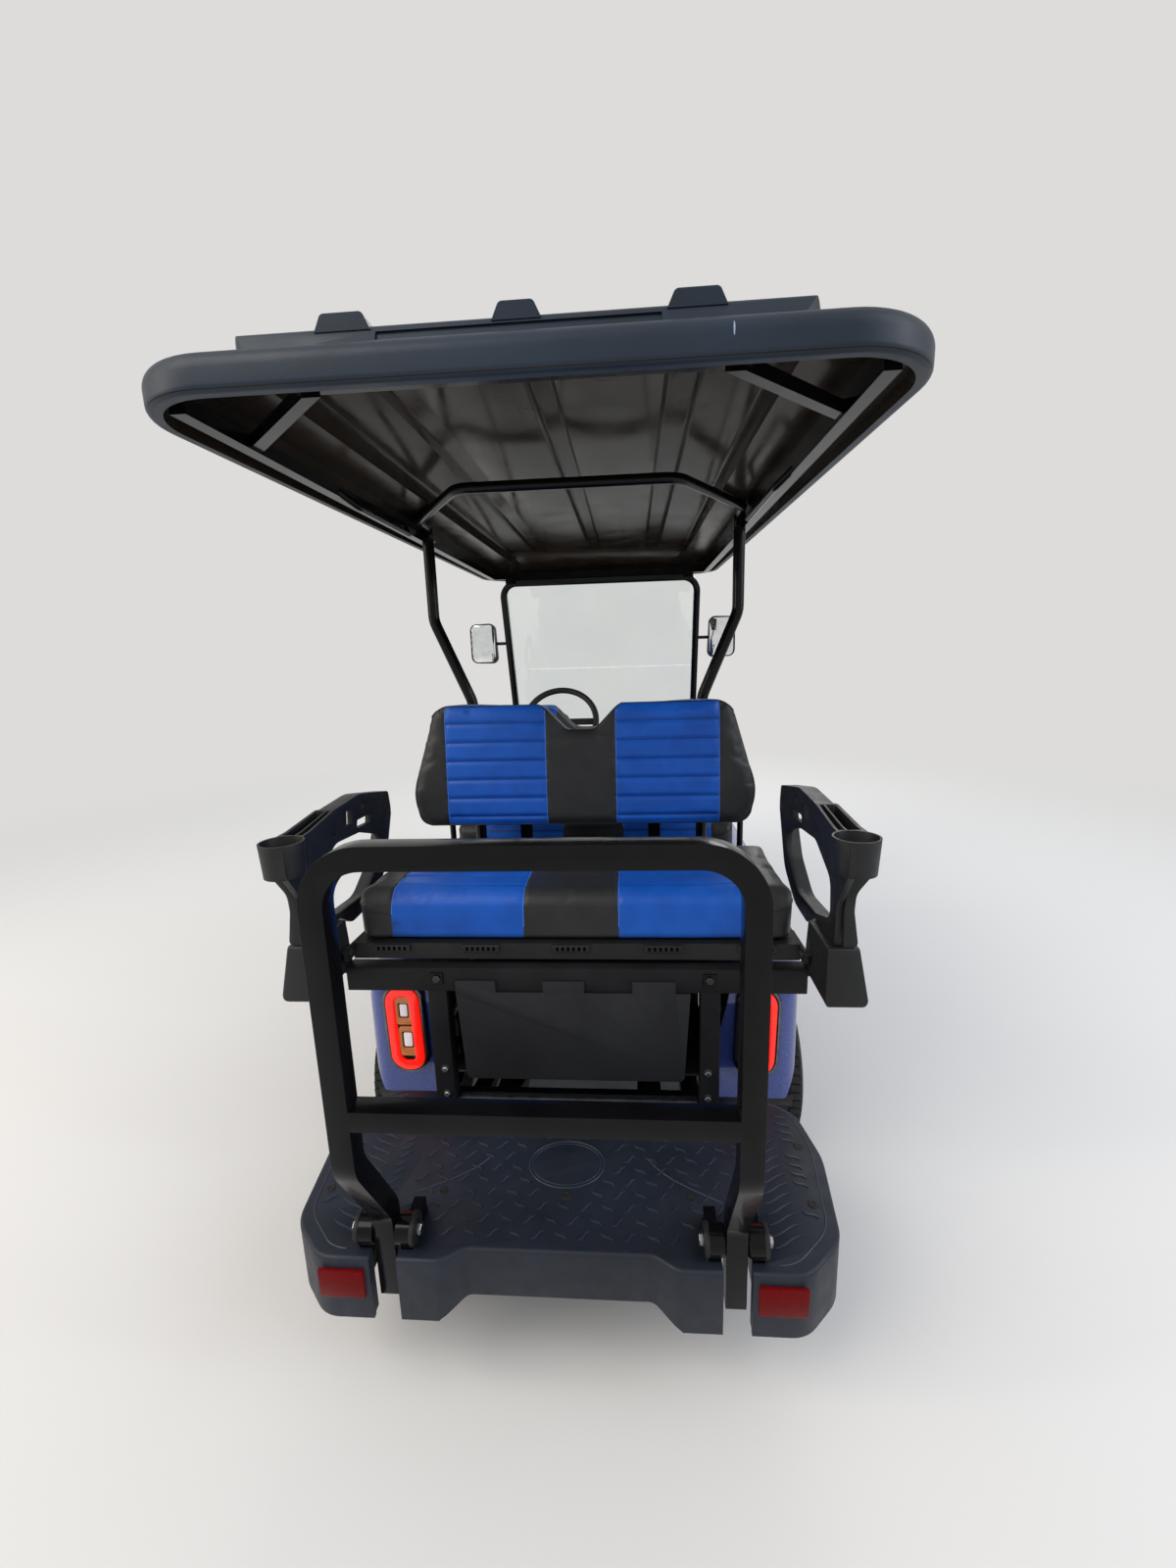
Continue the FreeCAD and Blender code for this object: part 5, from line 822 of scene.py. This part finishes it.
def dressed_tyre(node, body):
    low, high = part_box(node)
    middle = (low + high) / 2
    half = (high.x - low.x) / 2
    base = (high.z - low.z) / 2 - TREAD_DEPTH
    flank = [(-0.0825, 0.1275), (-0.084, 0.136), (-0.090, 0.146), (-0.0945, 0.150), (-0.0945, 0.154),
             (-0.099, 0.166), (-half, 0.182), (-half, 0.196), (-0.0985, 0.207), (-0.090, base - 0.002),
             (-0.045, base)]
    piece = carcass(node + "_carcass", middle, flank + [(-offset, radius) for offset, radius in reversed(flank)])
    finish_piece(piece, TYRE_RUBBER, body)
    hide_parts(node)
    blocks, shoulders = [], []
    for i in range(BLOCKS_ROUND):
        for column, shift in ((-0.038, 0.0), (0.0, 0.5), (0.038, 0.0)):
            angle = 2 * math.pi * (i + shift) / BLOCKS_ROUND
            blocks.append((round_x(middle, column, base, angle), (-angle, 0, 0)))
        for side in (-1, 1):
            angle = 2 * math.pi * (i + 0.5 * (side > 0)) / BLOCKS_ROUND
            shoulders.append((round_x(middle, side * 0.075, base - 0.0025, angle), (-angle, side * 0.10, 0)))
    repeated(node + "_tread", TREAD_BLOCK, blocks, TYRE_RUBBER, body)
    repeated(node + "_shoulder_tread", SHOULDER_BLOCK, shoulders, TYRE_RUBBER, body)


# %% [markdown]
# Each wheel has its tyre, four lug nuts on a circle of 115 mm and a hub cap, on the side that faces outwards.

# %% Four dressed wheels
NUT_CIRCLE = 0.0575
LUG_NUT = lathe_form("lug_nut", [(0.0115, 0), (0.0115, 0.012), (0.009, 0.020), (0.006, 0.022)], 6)
HUB_CAP = lathe_form("hub_cap", [(0.034, 0), (0.034, 0.006), (0.030, 0.013), (0.018, 0.018), (0.004, 0.0195)], 40)
for end in ("front", "rear"):
    for side, sign in (("left", -1), ("right", 1)):
        wheel = "wheel_" + end + "_" + side
        dressed_tyre("tyre_" + end + "_" + side, wheel)
        low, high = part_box("rim_" + end + "_" + side)
        middle = (low + high) / 2
        out = FACING_X if sign > 0 else FACING_MINUS_X
        nuts = [(round_x(middle, sign * 0.031, NUT_CIRCLE, math.pi / 4 + i * math.pi / 2), out) for i in range(4)]
        repeated("lug_nuts_" + end + "_" + side, LUG_NUT, nuts, ZINC, wheel)
        repeated("hub_cap_" + end + "_" + side, HUB_CAP, [((middle.x + sign * 0.034, middle.y, middle.z), out)],
                 DARK_TRIM, wheel)
        print(wheel, "tread blocks", 5 * BLOCKS_ROUND, "lug nuts", len(nuts))

# %% [markdown]
# A flat moulding, such as a lamp's ring or a mirror's glass, is a rounded outline given depth, with a hole if
# it needs one, and a fine bevel that catches the light.

# %% Rounded outlines and flat mouldings
def rounded_path(corners, steps=6):
    """Points round a closed outline of (u, v, radius) corners in millimetres, each corner turned into an arc."""
    points = []
    for i, (u, v, radius) in enumerate(corners):
        here = Vector((u, v))
        before = (Vector(corners[i - 1][:2]) - here).normalized()
        after = (Vector(corners[(i + 1) % len(corners)][:2]) - here).normalized()
        half = before.angle(after) / 2
        centre = here + (before + after).normalized() * radius / math.sin(half)
        start = here + before * radius / math.tan(half) - centre
        end = here + after * radius / math.tan(half) - centre
        first = math.atan2(start.y, start.x)
        swing = (math.atan2(end.y, end.x) - first + math.pi) % (2 * math.pi) - math.pi
        for k in range(steps + 1):
            angle = first + swing * k / steps
            points.append((centre + radius * Vector((math.cos(angle), math.sin(angle)))) / 1000)
    return points


def on_rear_face(u, v, depth):
    """A drawn point on a plane that faces rearwards."""
    return (u, depth, v)


def slab(name, outline, near, far, material, body, inner=None, edge_mm=0.8, place=on_rear_face):
    """A flat moulding with this outline between two depths, with a hole where inner is given."""
    work = bmesh.new()
    loops = [[[work.verts.new(place(p.x, p.y, depth)) for p in ring] for depth in (near, far)]
             for ring in ([outline, inner] if inner else [outline])]
    for low, high in loops:
        for i in range(len(low)):
            work.faces.new((low[i - 1], low[i], high[i], high[i - 1]))
    for level in (0, 1):
        if inner:
            rim, hole = loops[0][level], loops[1][level]
            for i in range(len(rim)):
                work.faces.new((rim[i - 1], rim[i], hole[i], hole[i - 1]))
        else:
            work.faces.new(loops[0][level])
    piece = shown(name, drawn(name, work, 180))
    round_edges(piece, edge_mm, 2, 50, 35)
    return finish_piece(piece, material, body)


def flipped(points, sign):
    """The same outline on the other side of the cart when the sign is -1."""
    return [Vector((p.x * sign, p.y)) for p in points]


# %% [markdown]
# The tail lamps are lit: a red light guide runs round each one, and inside it two amber-framed cells glow
# white. They are thin pieces over the solid lamp, in lens materials that shine a little by themselves. The
# outline runs on the slant, so the same path function gives the bezel, the ring and their holes.

# %% Lit tail lamps
LAMP_FACE = -0.965


def lamp_path(inset):
    """The lamp's outline in millimetres, drawn in by the inset."""
    return rounded_path([(396 + inset, 358 + inset, 50 - inset), (508 - inset, 358 + inset, 56 - inset),
                         (514 - inset, 618 - inset, 56 - inset), (402 + inset, 618 - inset, 50 - inset)], 10)


def cell_path(inner, outer, bottom, top, grow, radius):
    """A box between these edges in millimetres, grown on every side, with rounded corners."""
    return rounded_path([(inner - grow, bottom - grow, radius), (outer + grow, bottom - grow, radius),
                         (outer + grow, top + grow, radius), (inner - grow, top + grow, radius)])


LAMP_CELLS = [
    # frame's inner, outer, bottom and top edge, then its window's, in mm
    ((427, 473, 409, 494), (439, 461, 436, 476)),
    ((433, 477, 500, 578), (445.5, 465, 523, 558)),
]
for side, sign in (("left", -1), ("right", 1)):
    slab("lamp_ring_" + side, flipped(lamp_path(11.5), sign), LAMP_FACE - 0.0086, LAMP_FACE - 0.0002, RED_GLOW,
         "chassis", flipped(lamp_path(36.5), sign), 1.6)
    slab("lamp_bezel_" + side, flipped(lamp_path(1.5), sign), LAMP_FACE - 0.0045, LAMP_FACE - 0.0002, CHROME,
         "chassis", flipped(lamp_path(10.5), sign), 1.4)
    for i, (frame_edges, window) in enumerate(LAMP_CELLS):
        slab(f"lamp_frame_{side}_{i}", flipped(cell_path(*frame_edges, 0, 9), sign), LAMP_FACE - 0.0058,
             LAMP_FACE - 0.0005, AMBER_GLOW, "chassis", flipped(cell_path(*window, 4, 6), sign), 1.0)
        slab(f"lamp_cell_{side}_{i}", flipped(cell_path(*window, 0, 4), sign), LAMP_FACE - 0.0046,
             LAMP_FACE - 0.0005, WHITE_GLOW, "chassis", edge_mm=0.6)

# %% [markdown]
# The step tray has a moulded non-slip pattern of short wavy strokes. A stroke is one small form. The pattern
# leaves plain patches at the oval, the screws, the ears and the posts, and stays inside the tray's border.

# %% Where the tray has tread
TRAY_TOP = 0.357
OVAL = (-0.004, -1.255, 0.081, 0.0625)  # middle, then half width and half length
TRAY_SCREWS = [(x / 1000, y / 1000) for x, y in ((-493, -1337), (493, -1337), (-254, -1335), (254, -1335),
                                                (2, -1335), (-503, -1190), (503, -1190))]


def stroke_form(name, length, width, height, wave):
    """A slim raised stroke with narrow ends that swings sideways by wave, lying on Z 0."""
    work = bmesh.new()
    rows = []
    for k in range(9):
        t = k / 4 - 1
        half = width / 2 * max(0.15, 1 - t * t) ** 0.5
        x, y = t * length / 2, wave * math.sin(math.pi * t)
        rows.append([work.verts.new(spot) for spot in
                     ((x, y - half, -0.0004), (x, y - half * 0.5, height), (x, y + half * 0.5, height),
                      (x, y + half, -0.0004))])
    for one, two in zip(rows, rows[1:]):
        for i in range(4):
            work.faces.new((one[i - 1], one[i], two[i], two[i - 1]))
    work.faces.new(rows[0])
    work.faces.new(rows[-1])
    return bpy.data.objects.new(name, drawn(name, work, 60))


def tray_path(inset):
    """The tray's outline seen from above, drawn in by the inset."""
    half, rear, front = 548 - inset, -1487 + inset, -1032 - inset
    right = [(176, rear + 27, 40), (218, rear, 40), (half - 100, rear, 70), (half - 22, rear + 74, 90),
             (half, rear + 270, 160), (half - 24, rear + 396, 60), (half - 95, front, 40)]
    return rounded_path(right + [(-x, y, radius) for x, y, radius in reversed(right)], 8)


def within(spot, outline):
    """True where the spot lies inside the outline, by counting the edges to its right."""
    crossings = 0
    for one, two in zip(outline, outline[1:] + outline[:1]):
        if (one.y > spot.y) != (two.y > spot.y):
            crossings += spot.x < one.x + (spot.y - one.y) * (two.x - one.x) / (two.y - one.y)
    return crossings % 2 == 1


TRAY_FIELD = tray_path(34)


def bare(x, y):
    """True where the tray's tread leaves a plain patch: oval, screws, ears and posts."""
    oval = ((x - OVAL[0]) / (OVAL[2] + 0.018)) ** 2 + ((y - OVAL[1]) / (OVAL[3] + 0.016)) ** 2 < 1
    screw = any(math.hypot(x - u, y - v) < 0.026 for u, v in TRAY_SCREWS)
    ear = 0.246 < abs(x) < 0.404 and y < -1.372
    post = 0.28 < abs(x) < 0.365 and y > -1.10
    return oval or screw or ear or post or not within(Vector((x, y)), TRAY_FIELD)


# %% [markdown]
# In the middle the strokes lean left and right by turns. On the two lobes, four columns of them lie farther
# apart, and the second of these has longer lines.

# %% Tread of the step tray
LOBE_COLUMNS = [(0.368, -24, False), (0.425, 27, True), (0.482, -30, False), (0.512, 34, False)]
strokes, lines = [], []
for row in range(13):
    for column in range(-7, 8):
        x = 0.044 * column + (0.022 if row % 2 else 0)
        y = -1.425 + 0.031 * row
        if abs(x) < 0.335 and not bare(x, y):
            strokes.append(((x, y, TRAY_TOP), (0, 0, math.radians(38 if (row + column) % 2 else -36))))
for row in range(16):
    for side in (-1, 1):
        for reach, lean, is_long in LOBE_COLUMNS:
            x, y = side * reach, -1.432 + 0.0235 * row + 0.010 * (lean > 0)
            if not bare(x, y):
                (lines if is_long else strokes).append(((x, y, TRAY_TOP), (0, 0, math.radians(side * lean))))
repeated("tray_strokes", stroke_form("stroke", 0.031, 0.0046, 0.0023, 0.0022), strokes, TREAD_PLASTIC, "chassis")
repeated("tray_lines", stroke_form("line", 0.062, 0.0040, 0.0020, 0.0016), lines, TREAD_PLASTIC, "chassis")
print("tread strokes", len(strokes), "long lines", len(lines))

# %% [markdown]
# The border, the bows beside the oval and the oval's two rings are slim tubes sunk partly into the surface.
# Seven rubber-capped screws hold the tray.

# %% Border, oval and screws of the tray
BOW = [(0.172, -1.238), (0.186, -1.257), (0.204, -1.275), (0.226, -1.292), (0.256, -1.310), (0.290, -1.328),
       (0.318, -1.342)]


def on_tray(name, points, radius, closed=False):
    """A slim raised line on top of the tray."""
    return tube_along(name, [(x, y, TRAY_TOP - radius * 0.3) for x, y in points], radius, TREAD_PLASTIC, "chassis",
                      closed, 2)


for i, grow in enumerate((0.0, -0.007)):
    on_tray(f"tray_oval_{i}", [(OVAL[0] + (OVAL[2] + grow) * math.cos(t), OVAL[1] + (OVAL[3] + grow) * math.sin(t))
                               for t in spread(0, 2 * math.pi, 65)[:-1]], 0.0018 - 0.0008 * i, True)
for side, sign in (("left", -1), ("right", 1)):
    on_tray("tray_border_" + side, [(p.x, p.y) for p in tray_path(20) if p.x * sign > 0.372], 0.0016)
    on_tray("tray_bow_" + side, [(sign * x, y) for x, y in BOW], 0.0016)
TRAY_SCREW = lathe_form("tray_screw", [(0.0105, -0.0005), (0.0105, 0.0006), (0.0092, 0.0014), (0.0060, 0.0014),
                                       (0.0052, 0.0003), (0.0006, 0.0003)], 24)
repeated("tray_screws", TRAY_SCREW, [((x, y, TRAY_TOP), UP) for x, y in TRAY_SCREWS], SOFT_RUBBER, "chassis")
print("tray screws", len(TRAY_SCREWS))

# %% [markdown]
# Bolts hold the grab bar between round rubber bushings, and the seat's beam and posts. Every head is one hex
# form on one washer form, so a new bolt is only a place and a direction.

# %% Bushings, bolts and brackets at the back
BUSHING = lathe_form("bushing", [(0.0275, 0), (0.0290, 0.0015), (0.0290, 0.0065), (0.0270, 0.0085),
                                 (0.0150, 0.0085)], 40)
BIG_WASHER = lathe_form("big_washer", [(0.0150, 0), (0.0150, 0.0018), (0.0142, 0.0024), (0.0060, 0.0024)], 32)
SQUARE_PLATE = box_form("square_plate", (0.030, 0.030, 0.0035), 0.94)
BAR_BOLT = (-1.448, 0.387)
POST_FACE = -1.0775


def nearer(places, step):
    """The same places, this much closer to someone behind the cart."""
    return [((x, y - step, z), turn) for (x, y, z), turn in places]


bushings, washers, heads = [], [], []
for side in (-1, 1):
    for reach, outwards in ((0.381, 1), (0.267, -1)):
        way = side * outwards
        turn = FACING_X if way > 0 else FACING_MINUS_X
        for places, step in ((bushings, -0.0084), (washers, 0.0), (heads, 0.0022)):
            places.append(((side * reach + way * step, *BAR_BOLT), turn))
repeated("bar_bushings", BUSHING, bushings, SOFT_RUBBER, "chassis")
repeated("bar_washers", BIG_WASHER, washers, BARE_STEEL, "chassis")
repeated("bar_bolt_heads", BOLT_HEAD, heads, ZINC, "chassis")
BEAM_BOLTS = [((x, POST_FACE, 0.695), FACING_REAR) for x in (-0.320, 0.320)]
repeated("beam_plates", SQUARE_PLATE, BEAM_BOLTS, STEEL_BLACK, "chassis")
repeated("beam_bolt_heads", BOLT_HEAD, nearer(BEAM_BOLTS, 0.0035), BARE_STEEL, "chassis", 0.9)
POST_BOLTS = [((x, POST_FACE, z), FACING_REAR) for x in (-0.318, 0.318) for z in (0.384, 0.452)]
repeated("post_bolt_washers", WASHER, POST_BOLTS, BARE_STEEL, "chassis", 0.8)
repeated("post_bolt_heads", BOLT_HEAD, nearer(POST_BOLTS, 0.0016), ZINC, "chassis", 0.7)
print("bushings", len(bushings), "bolts", len(heads) + len(BEAM_BOLTS) + len(POST_BOLTS))
slab("tray_angle_strip", rounded_path([(-298, -1062, 1), (298, -1062, 1), (298, -1049, 1), (-298, -1049, 1)], 2),
     0.3571, 0.3606, ZINC, "chassis", edge_mm=0.5, place=lambda u, v, depth: (u, v, depth))

# %% [markdown]
# The flip deck's edge has five clips, each with a row of dark slots. A slot is shown by a small black block of
# painted shade that stands a hair proud of the clip, because a cut that small would not survive in the solid.

# %% Slots in the deck's clips
SLOT = box_form("clip_slot", (0.0058, 0.0095, 0.0006), 0.9)
slots = [((clip + 0.0128 * (i - 2.5), -1.0610, 0.7615), FACING_REAR)
         for clip in (-0.430, -0.215, 0, 0.215, 0.430) for i in range(6)]
repeated("clip_slots", SLOT, slots, SLOT_PAINTED_SHADE, "rear_seat")
print("slots", len(slots))

# %% [markdown]
# A dark welt runs round each backrest, and round the two black ends of each seat, where the face meets the
# border. Its path is the cushion's outline, drawn in a little and dropped on to the swollen foam. Outlines are
# in millimetres.

# %% Dark welts round the cushions
def back_outline(half, bottom, top, valley, inset):
    """A backrest's two-lobed outline in its face, drawn in by the inset."""
    height = top - bottom
    right = [(half - 24 - inset, inset, 55 - inset), (half - inset, 105, 160),
             (half - 76 - inset * 0.6, height - inset, 62), (118, height - inset, 30),
             (42, valley - bottom - inset, 24)]
    path = rounded_path(right + [(-u, v, radius) for u, v, radius in reversed(right)], 8)
    return [Vector((p.x, p.y + bottom / 1000)) for p in path]


def face_welt(target, name, outline, start_y, direction):
    """A backrest's welt; its rays start in the plane at start_y."""
    points = dropped(target, [(p.x, start_y, p.y) for p in outline], (0, direction, 0), 0.0003)
    tube_along(name, points, 0.0021, THREAD_BLACK, "chassis", True)


def end_welts(target, name, rear, front, height, panel, body):
    """A seat's welts, round its two black ends only, where the top meets the border."""
    half = 520
    outline = rounded_path([(-half, rear, 42), (half, rear, 42), (half, front, 42), (-half, front, 42)], 10)
    for side, sign in (("left", -1), ("right", 1)):
        middle = Vector((panel * sign, (rear + front) / 2000))
        points = [p for p in outline if p.x * sign > panel]
        points += [Vector((panel * sign, y / 1000)) for y in (rear, front)]
        points.sort(key=lambda p: math.atan2(p.y - middle.y, (p.x - middle.x) * sign))
        found = []
        for p in points:
            out = (p.x - middle.x) * sign / (half / 1000 - panel)
            tilt = math.radians(14 + 34 * min(1, max(0, out)))
            flat = Vector((sign * out ** 3, math.copysign(1, p.y - middle.y) * (1 - out ** 3), 0)).normalized()
            away = flat * math.cos(tilt) + Vector((0, 0, math.sin(tilt)))
            aim = Vector((p.x, p.y, height)) - flat * 0.03
            found += dropped(target, [aim + away * 0.3], -away, 0.0003)
        tube_along(name + "_" + side, found, 0.0019, THREAD_BLACK, body)


face_welt(REAR_BACK, "rear_backrest_edge_welt", back_outline(520, 930, 1310, 1235, 15), -0.93, 1)
face_welt(FRONT_BACK, "front_backrest_edge_welt", back_outline(512, 904, 1278, 1200, 15), 0.12, -1)
end_welts(REAR_SEAT, "rear_seat_end_welt", -1050, -650, 0.835, 0.434, "rear_seat")
end_welts(FRONT_SEAT, "front_seat_end_welt", -184, 284, 0.765, 0.438, "front_seat")

# %% [markdown]
# The mirrors' glass is a flat moulding too. It faces the driver, so it shows from behind.

# %% Mirror glass
for side, sign in (("left", -1), ("right", 1)):
    glass = rounded_path([(543, 1411, 26), (661, 1411, 26), (661, 1595, 26), (543, 1595, 26)], 8)
    slab("mirror_glass_" + side, flipped(glass, sign), 0.8266, 0.8285, MIRROR, "chassis", edge_mm=0.5)

# %% [markdown]
# The floor is pale, and so is the world to the camera and to mirror rays, so that black gloss has something to
# show, while the light on the cart stays at a plain level. Far out the floor fades into the world's own tone,
# so no horizon cuts the picture.

# %% Pale floor
PALE = "#DDDCDA"
FLOOR_HALF = 40
FADE_FROM, FADE_TO = 2.6, 7.5


def seen_rays(tree):
    """1 for rays that show the background itself, and 0 for those that light the cart."""
    path = add(tree, "ShaderNodeLightPath")
    direct = add(tree, "ShaderNodeMath", {0: path.outputs["Is Camera Ray"], 1: path.outputs["Is Transmission Ray"]},
                 operation="MAXIMUM").outputs[0]
    return add(tree, "ShaderNodeMath", {0: direct, 1: path.outputs["Is Glossy Ray"]}, operation="MAXIMUM").outputs[0]


def pale_floor():
    mesh = bpy.data.meshes.new("floor")
    corners = [(x * FLOOR_HALF, y * FLOOR_HALF, 0) for x, y in ((-1, -1), (1, -1), (1, 1), (-1, 1))]
    mesh.from_pydata(corners, [], [(0, 1, 2, 3)])
    floor = shown("floor", mesh)
    made, tree, shader, place = new_finish("pale_floor", Roughness=0.9, Specular_IOR_Level=0.2)
    shader.inputs["Base Color"].default_value = srgb("#D6D4D1")
    reach = add(tree, "ShaderNodeVectorMath", {0: place}, operation="LENGTH").outputs["Value"]
    far = add(tree, "ShaderNodeMapRange", {"Value": reach, "From Min": FADE_FROM, "From Max": FADE_TO},
              interpolation_type="SMOOTHSTEP").outputs[0]
    share = add(tree, "ShaderNodeMath", {0: far, 1: seen_rays(tree)}, operation="MULTIPLY").outputs[0]
    plain = add(tree, "ShaderNodeEmission", {"Color": srgb(PALE), "Strength": 1.0})
    mixed = add(tree, "ShaderNodeMixShader", {0: share, 1: shader.outputs[0], 2: plain.outputs[0]})
    out = next(node for node in tree.nodes if node.type == "OUTPUT_MATERIAL")
    tree.links.new(mixed.outputs[0], out.inputs["Surface"])
    mesh.materials.append(made)


pale_floor()

# %% [markdown]
# Light from a pale sky is even, with soft shadows. Three large lamps and a soft world stand for it, and two
# narrow lamps at the sides draw the bright lines along the tubes.

# %% Lamps and world
def lamp(name, place, target, size, power, colour):
    """A large soft lamp that lights the cart but is not seen itself."""
    data = bpy.data.lights.new(name, "AREA")
    data.shape = "RECTANGLE"
    data.size, data.size_y = size
    data.energy = power
    data.color = srgb(colour)[:3]
    obj = shown(name, data)
    obj.location = place
    obj.rotation_euler = (Vector(target) - Vector(place)).to_track_quat("-Z", "Y").to_euler()
    obj.visible_camera = False
    obj.visible_transmission = False


def sky():
    world = bpy.data.worlds.new("studio")
    SCENE.world = world
    world.use_nodes = True
    tree = world.node_tree
    tree.nodes.clear()
    soft = add(tree, "ShaderNodeBackground", {"Color": srgb("#E4EAF2"), "Strength": 0.72})
    plain = add(tree, "ShaderNodeBackground", {"Color": srgb(PALE), "Strength": 1.0})
    mixed = add(tree, "ShaderNodeMixShader", {0: seen_rays(tree), 1: soft.outputs[0], 2: plain.outputs[0]})
    add(tree, "ShaderNodeOutputWorld", {"Surface": mixed.outputs[0]})


lamp("key", (-4.5, -5.0, 7.0), (0, -0.3, 0.6), (5.0, 5.0), 420, "#FFF8EE")
lamp("fill", (5.5, -3.5, 5.5), (0, 0, 0.6), (5.0, 5.0), 190, "#EEF4FF")
lamp("front", (1.0, 7.0, 5.5), (0, 0, 0.8), (6.0, 4.0), 260, "#FFFFFF")
lamp("left_strip", (-5.0, -2.6, 2.6), (0, -0.8, 1.0), (0.5, 3.2), 70, "#FFF2E2")
lamp("right_strip", (5.2, -2.4, 2.8), (0, -0.8, 1.0), (0.5, 3.2), 60, "#F2F6FF")
sky()
SCENE.view_settings.view_transform = "Standard"
print("lamps", len(bpy.data.lights))
